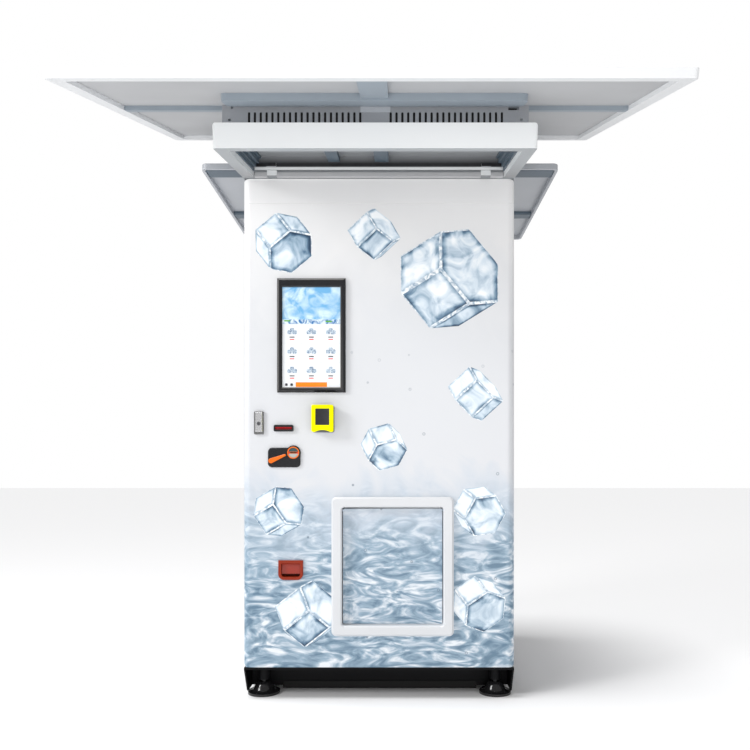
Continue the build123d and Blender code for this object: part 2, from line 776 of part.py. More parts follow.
def compressor():
    # Welded steel pot with domed ends on a foot plate
    radius = COMPRESSOR_RADIUS
    flat = COMPRESSOR_FLAT_RADIUS
    low = COMPRESSOR_POT_BOTTOM
    high = COMPRESSOR_HEIGHT
    waist = low + COMPRESSOR_LOWER_DOME
    shoulder = high - COMPRESSOR_UPPER_DOME
    half = Line((0, low), (flat, low))
    half += Spline((flat, low), (radius, waist), tangents=((1, 0), (0, 1)))
    half += Line((radius, waist), (radius, shoulder))
    half += Spline((radius, shoulder), (0, high), tangents=((0, 1), (-1, 0)))
    half += Line((0, high), (0, low))
    pot = revolve(Plane.XZ * make_face(half), Axis.Z)
    plate = RectangleRounded(COMPRESSOR_PLATE_WIDTH, COMPRESSOR_PLATE_DEPTH, COMPRESSOR_PLATE_CORNER)
    whole = pot + seen_from_top(plate, COMPRESSOR_FOOT_HEIGHT, low + COMPRESSOR_PLATE_LAP)
    for x in (-COMPRESSOR_FOOT_X, COMPRESSOR_FOOT_X):
        for y in (-COMPRESSOR_FOOT_Y, COMPRESSOR_FOOT_Y):
            whole += rod_z(x, y, COMPRESSOR_FOOT_RADIUS, 0, COMPRESSOR_FOOT_HEIGHT)
    wide = TERMINAL_BOX_HALF
    x0 = radius - TERMINAL_BOX_LAP
    x1 = radius + TERMINAL_BOX_REACH
    box = slab(x0, x1, -wide, wide, TERMINAL_BOX_BOTTOM, TERMINAL_BOX_TOP)
    return Pos(COMPRESSOR_X, COMPRESSOR_Y, CABINET_TOP) * (whole + box)


def ice_maker():
    # Ice mould: an upright plate of square cells over the drop hole, between two end cheeks
    half = EVAPORATOR_WIDTH / 2
    y = DROP_FRONT + DROP_LENGTH / 2
    z0 = EVAPORATOR_Z
    plate = slab(-half, half, y, y + EVAPORATOR_THICKNESS, z0, z0 + EVAPORATOR_HEIGHT)
    cell_w = (EVAPORATOR_WIDTH - CELL_WALL) / CELL_COLUMNS
    cell_h = (EVAPORATOR_HEIGHT - CELL_WALL) / CELL_ROWS
    cell = Rectangle(cell_w - CELL_WALL, cell_h - CELL_WALL)
    cells = Sketch()
    for i in range(CELL_COLUMNS):
        for j in range(CELL_ROWS):
            x = -half + CELL_WALL / 2 + cell_w * (i + 0.5)
            z = z0 + CELL_WALL / 2 + cell_h * (j + 0.5)
            cells += Pos(x, z) * cell
    plate -= seen_from_front(cells, y - 1, y + EVAPORATOR_THICKNESS - MOULD_BACK)
    cheek = CHEEK_THICKNESS / 2
    for side in (-1, 1):
        x = side * (half + cheek)
        y0 = y - CHEEK_FRONT
        plate += slab(x - cheek, x + cheek, y0, y + CHEEK_BACK, CABINET_TOP, z0 + EVAPORATOR_HEIGHT)
    return plate


def water_trough():
    # Tray that the water falls back into, below the mould's rear side
    y0 = DROP_FRONT + DROP_LENGTH + TRAY_GAP
    y1 = y0 + TRAY_DEPTH
    half = EVAPORATOR_WIDTH / 2 - TRAY_SIDE_GAP
    z = CABINET_TOP
    tray = slab(-half, half, y0, y1, z, z + TRAY_HEIGHT)
    tray = fillet(tray.edges().filter_by(Axis.Z), TRAY_CORNER)
    return tray - slab(-half + SHEET, half - SHEET, y0 + SHEET, y1 - SHEET, z + SHEET, z + TRAY_HEIGHT + 1)


def control_box():
    x = CONTROL_X
    y = CONTROL_Y
    z = CABINET_TOP
    case = slab(x - CONTROL_WIDTH / 2, x + CONTROL_WIDTH / 2, y, y + CONTROL_DEPTH, z, z + CONTROL_HEIGHT)
    case = fillet(case.edges().filter_by(Axis.Z), 10)
    lid = window(x, z + CONTROL_HEIGHT / 2, CONTROL_WIDTH - 30, CONTROL_HEIGHT - 30, 8)
    return case + seen_from_front(lid, y - 4, y)


def condenser():
    # Finned coil right behind the grille: two end plates, a slab of tubes and upright fins
    half = CONDENSER_WIDTH / 2
    z0 = CABINET_TOP + 4
    y0 = CONDENSER_FRONT
    y1 = y0 + CONDENSER_DEPTH
    fins = Rectangle(CONDENSER_WIDTH, CONDENSER_DEPTH * 0.4)
    count = int(CONDENSER_WIDTH / FIN_PITCH)
    for i in range(count):
        fins += Pos((i - (count - 1) / 2) * FIN_PITCH, 0) * Rectangle(FIN_THICKNESS, CONDENSER_DEPTH)
    coil = Pos(0, (y0 + y1) / 2, 0) * seen_from_top(fins, z0, z0 + CONDENSER_HEIGHT)
    for side in (-1, 1):
        x = side * (half + 4)
        coil += slab(x - 4, x + 4, y0, y1, CABINET_TOP, z0 + CONDENSER_HEIGHT)
    return coil


def fan_shroud():
    # Plate behind the coil with two round mouths, and a strut across each that carries its motor
    half = CONDENSER_WIDTH / 2 + 8
    y0 = CONDENSER_FRONT + CONDENSER_DEPTH + 2
    y1 = FAN_Y + FAN_HUB_LENGTH
    z1 = CABINET_TOP + CONDENSER_HEIGHT + 4
    plate = slab(-half, half, y0, y0 + 3, CABINET_TOP, z1)
    strut_y = FAN_Y + FAN_HUB_LENGTH + FAN_MOTOR_LENGTH
    for side in (-1, 1):
        x = side * FAN_X
        mouth = FAN_RADIUS + FAN_GAP
        plate += rod_y(x, FAN_Z, mouth + 3, y0, y1)
        plate -= rod_y(x, FAN_Z, mouth, y0 - 1, y1 + 1)
        plate += slab(x - 14, x + 14, strut_y, strut_y + 5, CABINET_TOP, z1)
        plate += rod_y(x, FAN_Z, FAN_MOTOR_RADIUS, FAN_Y + FAN_HUB_LENGTH + 2, strut_y)
        plate += rod_y(x, FAN_Z, FAN_SHAFT_RADIUS, FAN_Y + 6, strut_y)
    for x in (-FAN_X - 14, -FAN_X + 11, FAN_X - 14, FAN_X + 11):
        plate += slab(x, x + 3, y0 + 3, strut_y + 1, CABINET_TOP, CABINET_TOP + 6)
    return plate


def fan(side):
    # A hub with pitched blades, trimmed to a circle
    hub = rod_y(0, 0, FAN_HUB_RADIUS, 0, FAN_HUB_LENGTH)
    span = FAN_RADIUS - FAN_HUB_RADIUS + 4
    blade = Pos(FAN_HUB_RADIUS - 4 + span / 2, FAN_HUB_LENGTH / 2, 0) * (
        Rot(FAN_PITCH_ANGLE, 0, 0) * Box(span, 2.5, 44)
    )
    blade &= rod_y(0, 0, FAN_RADIUS, -5, FAN_HUB_LENGTH + 5)
    wheel = hub
    for i in range(FAN_BLADES):
        wheel += Rot(0, 360 / FAN_BLADES * i, 0) * blade
    wheel -= rod_y(0, 0, FAN_SHAFT_RADIUS + RUNNING_CLEARANCE, 5, FAN_HUB_LENGTH + 1)
    return Pos(side * FAN_X, FAN_Y, FAN_Z) * wheel


def plenum_floor(y):
    return visor_over(y) + PLENUM_GAP


def grille_panel():
    # Folded sheet over the visor with two groups of upright slots and a screw hole at each end
    half = PLENUM_WIDTH / 2
    front = -PLENUM_REACH
    back = front + SHEET
    low = plenum_floor(back)
    high = roof_under(front) - PART_CLEARANCE
    plate = slab(-half, half, front, back, low, high)
    middle = (SLOT_BOTTOM + SLOT_TOP) / 2
    slot = SlotOverall(SLOT_TOP - SLOT_BOTTOM, SLOT_WIDTH, rotation=90)
    slots = Sketch()
    for side in (-1, 1):
        for i in range(SLOT_COUNT):
            x = side * SLOT_GROUP_X + (i - (SLOT_COUNT - 1) / 2) * SLOT_PITCH
            slots += Pos(x, middle) * slot
        slots += Pos(side * GRILLE_HOLE_X, GRILLE_HOLE_Z) * Circle(GRILLE_HOLE_RADIUS)
    slots += Pos(-490, high - 6) * Rectangle(7, 14)
    slots += Pos(472, high - 8) * Rectangle(36, 18)
    return plate - seen_from_front(slots, front - 1, back + 1)


def plenum_duct():
    # Sloping floor and two side walls between the grille and the housing
    half = PLENUM_WIDTH / 2
    front = -PLENUM_REACH + SHEET
    outline = Polyline(
        (front, plenum_floor(front)),
        (0, plenum_floor(0)),
        (0, roof_under(0) - SHEET),
        (front, roof_under(front) - SHEET),
        close=True,
    )
    duct = seen_from_side(make_face(outline), -half, half)
    inner = Polyline(
        (front - 1, plenum_floor(front - 1) + SHEET),
        (1, plenum_floor(1) + SHEET),
        (1, CABINET_TOP + 900),
        (front - 1, CABINET_TOP + 900),
        close=True,
    )
    return duct - seen_from_side(make_face(inner), -half + SHEET, half - SHEET)


def housing_front():
    # Front wall of the machine housing, open where the duct comes in
    high = roof_under(0) - SHEET
    wall = slab(-HALF, HALF, 0, SHEET, CABINET_TOP, high)
    half = PLENUM_WIDTH / 2 - SHEET
    return wall - slab(-half, half, -1, SHEET + 1, plenum_floor(0) + SHEET, high + 1)


def housing_profile(front, back, drop):
    # Side view of the housing's room: under the roof's slope, then flat
    bend = -ROOF_REACH + (HOUSING_TOP - ROOF_FRONT_Z) / ROOF_TAN
    return make_face(
        Polyline(
            (front, CABINET_TOP),
            (back, CABINET_TOP),
            (back, HOUSING_TOP - drop),
            (bend, HOUSING_TOP - drop),
            (front, roof_under(front) - drop),
            close=True,
        )
    )


def housing_side():
    # Right-hand wall with a row of upright air slots below the wing
    outline = housing_profile(SHEET, CABINET_DEPTH, SHEET)
    wall = seen_from_side(outline, HALF - SHEET, HALF)
    height = SIDE_SLOT_TOP - SIDE_SLOT_BOTTOM
    slot = SlotOverall(height, SIDE_SLOT_WIDTH, rotation=90)
    slots = Sketch()
    middle = (WING_FRONT + WING_BACK) / 2
    for i in range(SIDE_SLOT_COUNT):
        y = middle + (i - (SIDE_SLOT_COUNT - 1) / 2) * SIDE_SLOT_PITCH
        slots += Pos(y, SIDE_SLOT_BOTTOM + height / 2) * slot
    wall -= seen_from_side(slots, HALF - SHEET - 1, HALF + 1)
    for y in WING_HINGE_PLACES:
        wall += wing_hinge(y)
    return wall


def housing_rear():
    half = HALF - SHEET
    wall = slab(-half, half, CABINET_DEPTH - SHEET, CABINET_DEPTH, CABINET_TOP, HOUSING_TOP - SHEET)
    slots = Sketch()
    for i in range(10):
        slots += Pos(0, CABINET_TOP + 70 + i * 16) * SlotOverall(380, 7)
    return wall - seen_from_front(slots, CABINET_DEPTH - SHEET - 1, CABINET_DEPTH + 1)


def housing_cover():
    # One bent sheet: it slopes under the roof and runs flat to the rear
    bend = -ROOF_REACH + (HOUSING_TOP - ROOF_FRONT_Z) / ROOF_TAN
    front = -PLENUM_REACH + SHEET
    sheets = []
    for y, half in ((front, PLENUM_WIDTH / 2), (0, HALF)):
        outline = Polyline(
            (y, roof_under(y) - SHEET),
            (bend, HOUSING_TOP - SHEET),
            (CABINET_DEPTH, HOUSING_TOP - SHEET),
            (CABINET_DEPTH, HOUSING_TOP),
            (bend, HOUSING_TOP),
            (y, roof_under(y)),
            close=True,
        )
        sheets.append(seen_from_side(make_face(outline), -half, half))
    return sheets[0] + sheets[1]


def on_roof(shape):
    # Pieces of the roof are drawn flat from its front edge, then tilted
    return Pos(0, -ROOF_REACH, ROOF_FRONT_Z) * (Rot(ROOF_SLOPE, 0, 0) * shape)


def roof_frame():
    # Four mitred aluminium bars with rounded outer corners
    half = ROOF_WIDTH / 2
    wide = ROOF_FRAME_WIDTH
    length = ROOF_LENGTH
    outline = Pos(0, length / 2) * RectangleRounded(ROOF_WIDTH, length, ROOF_CORNER_RADIUS)
    gap = 0.3
    outer = half - gap
    inner = half - wide - gap
    front = Polyline((-outer, 0), (outer, 0), (inner, wide), (-inner, wide), close=True)
    x = half - wide
    ends = length - gap
    side = Polyline((half, gap), (half, ends), (x, ends - wide), (x, wide + gap), close=True)
    bars = []
    for face in (make_face(front), Pos(0, length) * mirror(make_face(front), Plane.XZ)):
        bars.append(seen_from_top(face & outline, 0, ROOF_THICKNESS))
    for face in (make_face(side), mirror(make_face(side), Plane.YZ)):
        bars.append(seen_from_top(face & outline, 0, ROOF_THICKNESS))
    return [on_roof(bar) for bar in bars]


def roof_panel():
    # Sandwich sheet that lies inside the frame, over the ribs
    wide = ROOF_FRAME_WIDTH
    half = ROOF_WIDTH / 2 - wide
    sheet = slab(-half, half, wide, ROOF_LENGTH - wide, ROOF_RIB_DEPTH, ROOF_RIB_DEPTH + ROOF_PANEL_THICKNESS)
    return on_roof(sheet)


def roof_ribs():
    # Centre rib, cross rib and front beam, all under the panel
    half = ROOF_WIDTH / 2 - ROOF_FRAME_WIDTH
    rib = ROOF_CENTRE_RIB / 2
    end = ROOF_LENGTH - ROOF_FRAME_WIDTH
    beam0 = ROOF_BEAM_FROM_FRONT
    beam1 = beam0 + ROOF_BEAM_WIDTH
    mid0 = ROOF_MID_RIB_FROM_FRONT
    mid1 = mid0 + ROOF_MID_RIB
    ribs = [slab(-rib, rib, ROOF_FRAME_WIDTH, beam0, 0, ROOF_RIB_DEPTH)]
    ribs.append(slab(-rib, rib, beam1, end, 0, ROOF_RIB_DEPTH))
    ribs.append(slab(-half, -rib, mid0, mid1, 0, ROOF_RIB_DEPTH))
    ribs.append(slab(rib, half, mid0, mid1, 0, ROOF_RIB_DEPTH))
    plan = window(0, (beam0 + beam1) / 2, ROOF_BEAM_LENGTH, ROOF_BEAM_WIDTH, 22)
    ribs.append(seen_from_top(plan, -ROOF_BEAM_DROP, ROOF_RIB_DEPTH))
    return [on_roof(piece) for piece in ribs]


def roof_brackets():
    # Two posts on the flat of the housing and one angle on the grille, which hold the roof
    back = -ROOF_REACH + (ROOF_LENGTH - 4) * math.cos(math.radians(ROOF_SLOPE))
    front = back - ROOF_POST_LENGTH
    outline = Polyline(
        (front, HOUSING_TOP),
        (back, HOUSING_TOP),
        (back, roof_under(back)),
        (front, roof_under(front)),
        close=True,
    )
    x0 = ROOF_POST_X - ROOF_POST_WIDTH / 2
    post = seen_from_side(make_face(outline), x0, x0 + ROOF_POST_WIDTH)
    y = -PLENUM_REACH
    half = ROOF_BRACKET_WIDTH / 2
    top = roof_under(y - 12)
    angle = slab(-half, half, y - 4, y, top - ROOF_BRACKET_HEIGHT, top)
    angle += slab(-half, half, y - 12, y - 4, top - 5, top)
    return post, mirrored(post), angle


def on_visor(shape):
    # Pieces of the visor are drawn flat from its front lower edge, then tilted
    return Pos(0, -VISOR_REACH, VISOR_FRONT_Z) * (Rot(VISOR_SLOPE, 0, 0) * shape)


def visor_pan():
    # Deep lid, open below, with a wide rim on three sides and a short wall over the hinge bar
    half = VISOR_WIDTH / 2
    body = slab(-half, half, 0, VISOR_LENGTH, 0, VISOR_HEIGHT)
    soft = [e for e in body.edges().filter_by(Axis.Y) if e.center().Z > VISOR_HEIGHT / 2]
    soft += [e for e in body.edges().filter_by(Axis.Z) if e.center().Y < 1]
    body = fillet(soft, VISOR_CORNER_RADIUS)
    inner = half - VISOR_RIM
    wall = VISOR_LENGTH - VISOR_REAR_WALL
    roof = VISOR_HEIGHT - VISOR_SKIN
    body -= slab(-inner, inner, VISOR_RIM, wall, -1, roof)
    pan = on_visor(body - slab(-inner, inner, wall - 1, VISOR_LENGTH + 1, -1, VISOR_BAR_SIZE + 10))
    for side in (-1, 1):
        pan += visor_arm(side)
    return pan


def visor_rails():
    # Stepped gasket rails on the inner faces of the side rims
    inner = VISOR_WIDTH / 2 - VISOR_RIM
    wide = VISOR_RAIL_WIDTH
    top = VISOR_HEIGHT - VISOR_SKIN
    outline = Polyline(
        (inner, 22),
        (inner, top),
        (inner - wide, top),
        (inner - wide, top - 9),
        (inner - wide + 9, top - 9),
        (inner - wide + 9, top - 26),
        (inner - 13, top - 26),
        (inner - 13, top - 40),
        (inner - 6, top - 40),
        (inner - 6, 22),
        close=True,
    )
    rail = seen_from_front(make_face(outline), VISOR_RIM, VISOR_LENGTH - VISOR_REAR_WALL)
    return on_visor(rail), on_visor(mirrored(rail))


def visor_ribs():
    # Two stiffening channels under the visor's sheet
    top = VISOR_HEIGHT - VISOR_SKIN
    low = top - VISOR_RIB_DEPTH
    ribs = []
    for x, wide in zip(VISOR_RIB_PLACES, VISOR_RIB_WIDTHS):
        hollow = Rectangle(wide - 2 * VISOR_RIB_WALL, VISOR_RIB_DEPTH)
        channel = Rectangle(wide, VISOR_RIB_DEPTH) - Pos(0, VISOR_RIB_WALL) * hollow
        channel = Pos(x, (top + low) / 2) * channel
        channel = seen_from_front(channel, VISOR_RIM, VISOR_LENGTH - VISOR_REAR_WALL)
        ribs.append(on_visor(channel))
    return ribs


def visor_arm(side):
    # Hinge arm that reaches down from the visor's rear wall and closes round the pin
    x0 = side * VISOR_ARM_X - VISOR_ARM_WIDTH / 2 + PART_CLEARANCE
    x1 = side * VISOR_ARM_X + VISOR_ARM_WIDTH / 2 - PART_CLEARANCE
    eye = rod_x(VISOR_AXIS_Y, VISOR_AXIS_Z, VISOR_BAR_SIZE / 2 - PART_CLEARANCE, x0, x1)
    high = VISOR_AXIS_Z + VISOR_ARM_RISE
    front = VISOR_AXIS_Y - VISOR_ARM_REACH
    outline = Polyline(
        (VISOR_AXIS_Y - 7, VISOR_AXIS_Z),
        (VISOR_AXIS_Y + 4, VISOR_AXIS_Z),
        (VISOR_AXIS_Y + 4, high),
        (front, high + 6),
        (front, high - 8),
        (VISOR_AXIS_Y - 10, high - 14),
        close=True,
    )
    arm = eye + seen_from_side(make_face(outline), x0, x1)
    return arm - rod_x(VISOR_AXIS_Y, VISOR_AXIS_Z, VISOR_PIN_RADIUS + RUNNING_CLEARANCE, x0 - 1, x1 + 1)


def visor_bar():
    # Square bar along the cabinet's top edge, notched for the arms, with the pins across the notches
    half = VISOR_BAR_LENGTH / 2
    side = VISOR_BAR_SIZE / 2
    y = VISOR_AXIS_Y
    z = VISOR_AXIS_Z
    bar = slab(-half, half, y - side, 0, z - side, z + side)
    for x in (-VISOR_ARM_X, VISOR_ARM_X):
        x0 = x - VISOR_ARM_WIDTH / 2
        x1 = x + VISOR_ARM_WIDTH / 2
        bar -= slab(x0, x1, y - side - 1, 1, z - side - 1, z + side + 1)
        bar += rod_x(y, z, VISOR_PIN_RADIUS, x0 - VISOR_NOTCH_PIN, x1 + VISOR_NOTCH_PIN)
    return bar


def wing_panel():
    # Right-hand side flap: a flat sheet with its edges folded down
    x0 = WING_AXIS_X + WING_ROOT_GAP
    low = WING_TOP - WING_THICKNESS
    body = slab(x0, WING_REACH, WING_FRONT, WING_BACK, low, WING_TOP)
    corners = [e for e in body.edges().filter_by(Axis.Z) if e.center().X > WING_REACH - 1]
    body = fillet(corners, WING_CORNER_RADIUS)
    lip = WING_LIP
    roof = WING_TOP - WING_SHEET
    hollow = slab(x0 + lip, WING_REACH - lip, WING_FRONT + lip, WING_BACK - lip, low - 1, roof)
    inner = [e for e in hollow.edges().filter_by(Axis.Z) if e.center().X > WING_REACH - lip - 1]
    return body - fillet(inner, WING_CORNER_RADIUS - lip)


def wing_ribs():
    # Two cross ribs under the flap and two hinge eyes at its inner edge
    x0 = WING_AXIS_X + WING_ROOT_GAP + WING_LIP
    x1 = WING_REACH - WING_LIP
    z1 = WING_TOP - WING_SHEET
    low = WING_TOP - WING_THICKNESS + 5
    ribs = []
    for y, wide in zip(WING_RIB_PLACES, WING_RIB_WIDTHS):
        rib = slab(x0, x1, y - wide / 2, y + wide / 2, low, z1)
        ribs.append(chamfer(rib.edges().filter_by(Axis.X).group_by(Axis.Z)[0], 6))
    for y in WING_HINGE_PLACES:
        third = WING_HINGE_LENGTH / 3
        y0 = y - third / 2 + PART_CLEARANCE
        y1 = y + third / 2 - PART_CLEARANCE
        eye = rod_y(WING_AXIS_X, WING_AXIS_Z, WING_EYE_RADIUS, y0, y1)
        half = WING_AXIS_RISE
        eye += slab(WING_AXIS_X, WING_AXIS_X + WING_ROOT_GAP, y0, y1, WING_AXIS_Z - half, WING_AXIS_Z + half)
        bore = WING_PIN_RADIUS + RUNNING_CLEARANCE
        ribs.append(eye - rod_y(WING_AXIS_X, WING_AXIS_Z, bore, y0 - 1, y1 + 1))
    return ribs


def wing_hinge(y):
    # Fixed leaf on the housing wall with two eyes and the pin
    third = WING_HINGE_LENGTH / 3
    leaf = slab(HALF, HALF + 2, y - third * 1.5, y + third * 1.5, WING_AXIS_Z - 26, WING_AXIS_Z + 14)
    for side in (-1, 1):
        y0 = y + side * third - third / 2
        leaf += rod_y(WING_AXIS_X, WING_AXIS_Z, WING_EYE_RADIUS, y0, y0 + third)
        half = WING_AXIS_RISE
        leaf += slab(HALF, WING_AXIS_X, y0, y0 + third, WING_AXIS_Z - half, WING_AXIS_Z + half)
    return leaf + rod_y(WING_AXIS_X, WING_AXIS_Z, WING_PIN_RADIUS, y - third * 1.5, y + third * 1.5)


def door_block(inset, front, back):
    # The door's outline with its rounded upright front edges and chamfered lower corners
    half = HALF - inset
    low = DOOR_BOTTOM + inset
    high = DOOR_TOP - inset
    block = slab(-half, half, inset, back, low, high)
    uprights = [e for e in block.edges().filter_by(Axis.Z) if e.center().Y < inset + 1]
    block = fillet(uprights, DOOR_EDGE_RADIUS - inset)
    cut = DOOR_CORNER_CHAMFER
    for side in (-1, 1):
        x = side * half
        wedge = Polyline((x, low), (x - side * cut, low), (x, low + cut * 1.3), close=True)
        block -= seen_from_front(make_face(wedge), -1, back + 1)
    return block & slab(-HALF, HALF, front, back, 0, CABINET_TOP)


def display_hole(margin):
    width = SCREEN_WIDTH - 2 * SCREEN_SIDE_BORDER + margin
    height = SCREEN_HEIGHT - SCREEN_TOP_BORDER - SCREEN_BOTTOM_BORDER + margin
    z = SCREEN_Z + (SCREEN_BOTTOM_BORDER - SCREEN_TOP_BORDER) / 2
    return Pos(SCREEN_X, z) * Rectangle(width, height)


def cup_outline(offset):
    # Square above, round at its lower corners
    width = CUP_WIDTH + 2 * offset
    height = CUP_HEIGHT + 2 * offset
    plate = Rectangle(width, height)
    low = plate.vertices().group_by(Axis.Y)[0]
    return Pos(CUP_X, CUP_Z) * fillet(low, CUP_BOTTOM_RADIUS + offset)


def door_pin_bores(shape, extra):
    radius = DOOR_PIN_RADIUS + extra
    reach = DOOR_PIN_LENGTH + 2
    shape -= rod_z(DOOR_PIN_X, DOOR_PIN_Y, radius, DOOR_BOTTOM - 1, DOOR_BOTTOM + reach)
    return shape - rod_z(DOOR_PIN_X, DOOR_PIN_Y, radius, DOOR_TOP - reach, DOOR_TOP + 1)


def lock_space():
    # Left, right, lower and upper edges of the way through the skin and foam for the lock's dish
    x = LOCK_WIDTH / 2 - LOCK_HOLE_LAP
    z = LOCK_HEIGHT / 2 - LOCK_HOLE_LAP
    return LOCK_X - x, LOCK_X + x, LOCK_Z - z, LOCK_Z + z


def door_skin():
    # Front panels round everything that shows, a rolled corner and a flange at each side, and a flange
    # above and below
    flat = HALF - DOOR_EDGE_RADIUS
    low = DOOR_BOTTOM + DOOR_SHEET
    high = DOOR_TOP - DOOR_SHEET
    front = slab(-flat, flat, 0, DOOR_SHEET, low, high)
    pieces = []
    for x0, x1, z0, z1 in (*door_boards(CUP_SHEET_MARGIN), *device_panels()):
        pieces.append(front & slab(x0, x1, 0, DOOR_SHEET, z0, z1))
    pieces.append(reader_panel())
    pieces += cup_corners()
    skin = door_block(0, 0, DOOR_THICKNESS) - door_block(DOOR_SHEET, DOOR_SHEET, DOOR_THICKNESS + 1)
    skin = door_pin_bores(skin, DOOR_PIN_FREE)
    for x0, x1 in ((-HALF, -flat), (flat, HALF)):
        pieces.append(skin & slab(x0, x1, 0, DOOR_EDGE_RADIUS, low, high))
        pieces.append(skin & slab(x0, x1, DOOR_EDGE_RADIUS, DOOR_THICKNESS, low, high))
    pieces.append(skin & slab(-HALF, HALF, 0, DOOR_THICKNESS, DOOR_BOTTOM, low))
    pieces.append(skin & slab(-HALF, HALF, 0, DOOR_THICKNESS, high, DOOR_TOP))
    return pieces


def extents(outline):
    # Left, right, lower and upper edges of a flat outline
    box = outline.bounding_box()
    return box.min.X, box.max.X, box.min.Y, box.max.Y


def around(space, hole):
    # Left, right, lower and upper edges of the four panels that leave a hole open in a space
    x0, x1, z0, z1 = space
    left, right, low, high = hole
    return (x0, left, z0, z1), (right, x1, z0, z1), (left, right, z0, low), (left, right, high, z1)


def device_splits():
    # Where the pocket's sheet is parted: beside the reader, over the coin device and under the display
    return READER_X - READER_WIDTH / 2, COIN_Z + COIN_HEIGHT / 2, SCREEN_Z - SCREEN_HEIGHT / 2


def device_panels():
    # Panels round the display, the banknote neck and the coin device
    x0, x1, z0, z1 = pocket()
    beside_reader, over_coin, under_display = device_splits()
    display = extents(display_hole(DISPLAY_MARGIN))
    neck_width = BILL_SLOT_WIDTH + 2 * BILL_NECK_WALL + 2 * BILL_NECK_GAP
    bill = extents(Pos(BILL_X, BILL_Z) * Rectangle(neck_width, BILL_NECK_HEIGHT + 2 * BILL_NECK_GAP))
    coin = extents(coin_body(COIN_BODY_INSET - COIN_BODY_GAP, 8))
    return (
        *around((x0, x1, under_display, z1), display),
        *around((x0, beside_reader, over_coin, under_display), bill),
        *around((x0, beside_reader, z0, over_coin), coin),
    )


def reader_panel():
    # Panel behind the card reader with the hole for its cable spigot
    x0, x1, z0, z1 = pocket()
    beside_reader, over_coin, under_display = device_splits()
    panel = slab(beside_reader, x1, 0, DOOR_SHEET, z0, under_display)
    return panel - rod_y(READER_X, READER_Z, SPIGOT_RADIUS + SPIGOT_CLEARANCE, -1, DOOR_SHEET + 1)


def cup_corners():
    # Gussets that close the lower corners of the coin cup's hole behind its round rim
    left, right, low, high = cup_hole(CUP_SHEET_MARGIN)
    cut = CUP_SHEET_CHAMFER
    gussets = []
    for x, side in ((left, 1), (right, -1)):
        corner = Polyline((x, low), (x + side * cut, low), (x, low + cut), close=True)
        gussets.append(seen_from_front(make_face(corner), 0, DOOR_SHEET))
    return gussets


def pocket():
    # Left, right, lower and upper edges of the space for the display and the payment devices
    x0 = COIN_X - COIN_WIDTH / 2 - POCKET_MARGIN
    x1 = SCREEN_X + SCREEN_WIDTH / 2 + POCKET_MARGIN
    z0 = COIN_Z - COIN_HEIGHT / 2 - POCKET_MARGIN
    z1 = SCREEN_Z + SCREEN_HEIGHT / 2 + POCKET_MARGIN
    return x0, x1, z0, z1


def pickup_hole():
    # Left, right, lower and upper edges of the way through the door for the pick-up sleeve
    x = OPENING_WIDTH / 2 + SLEEVE_WALL + PART_CLEARANCE
    z = OPENING_HEIGHT / 2 + SLEEVE_WALL + PART_CLEARANCE
    return PICKUP_X - x, PICKUP_X + x, PICKUP_Z - z, PICKUP_Z + z


def cup_hole(margin):
    # Left, right, lower and upper edges of the way through the door for the coin cup
    x = CUP_WIDTH / 2 - CUP_RIM + margin
    z = CUP_HEIGHT / 2 - CUP_RIM + margin
    return CUP_X - x, CUP_X + x, CUP_Z - z, CUP_Z + z


def door_boards(cup_margin):
    # Left, right, lower and upper edges of the boards or panels round the lock, the service pocket, the
    # coin cup and the pick-up opening
    lock_left, lock_right, lock_low, lock_high = lock_space()
    pocket_left, pocket_right, pocket_low, pocket_high = pocket()
    hole_left, hole_right, hole_low, hole_high = pickup_hole()
    cup_left, cup_right, cup_low, cup_high = cup_hole(cup_margin)
    return (
        (-HALF, HALF, pocket_high, DOOR_TOP),
        (-HALF, pocket_left, lock_high, pocket_high),
        (-HALF, lock_left, lock_low, lock_high),
        (lock_right, pocket_left, lock_low, lock_high),
        (-HALF, pocket_left, pocket_low, lock_low),
        (pocket_right, HALF, pocket_low, pocket_high),
        (-HALF, HALF, hole_high, pocket_low),
        (hole_right, HALF, hole_low, hole_high),
        (-HALF, hole_left, cup_high, hole_high),
        (-HALF, cup_left, cup_low, cup_high),
        (cup_right, hole_left, cup_low, cup_high),
        (-HALF, hole_left, hole_low, cup_low),
        (-HALF, HALF, DOOR_BOTTOM, hole_low),
    )


def door_core():
    # Foam boards with a thinner one behind the lock
    core = door_block(DOOR_SHEET + PART_CLEARANCE, DOOR_SHEET + PART_CLEARANCE, DOOR_THICKNESS)
    core = door_pin_bores(core, RUNNING_CLEARANCE)
    lock_left, lock_right, lock_low, lock_high = lock_space()
    behind_lock = LOCK_DEPTH + PART_CLEARANCE
    boards = [core & slab(lock_left, lock_right, behind_lock, DOOR_THICKNESS, lock_low, lock_high)]
    for x0, x1, z0, z1 in door_boards(CUP_HOLE_MARGIN):
        boards.append(core & slab(x0, x1, 0, DOOR_THICKNESS, z0, z1))
    return boards


def service_case():
    # Folded steel case on the door's back that covers the display and the payment devices
    x0, x1, z0, z1 = pocket()
    margin = CASE_MARGIN
    y0 = DOOR_THICKNESS
    y1 = y0 + CASE_DEPTH
    case = slab(x0 - margin, x1 + margin, y0, y1, z0 - margin, z1 + margin)
    case = chamfer(case.edges().group_by(Axis.Y)[-1], CASE_CHAMFER)
    inset = margin - SHEET
    hollow = slab(x0 - inset, x1 + inset, y0, y1 - SHEET, z0 - inset, z1 + inset)
    hollow = chamfer(hollow.edges().group_by(Axis.Y)[-1], CASE_CHAMFER)
    return case - hollow


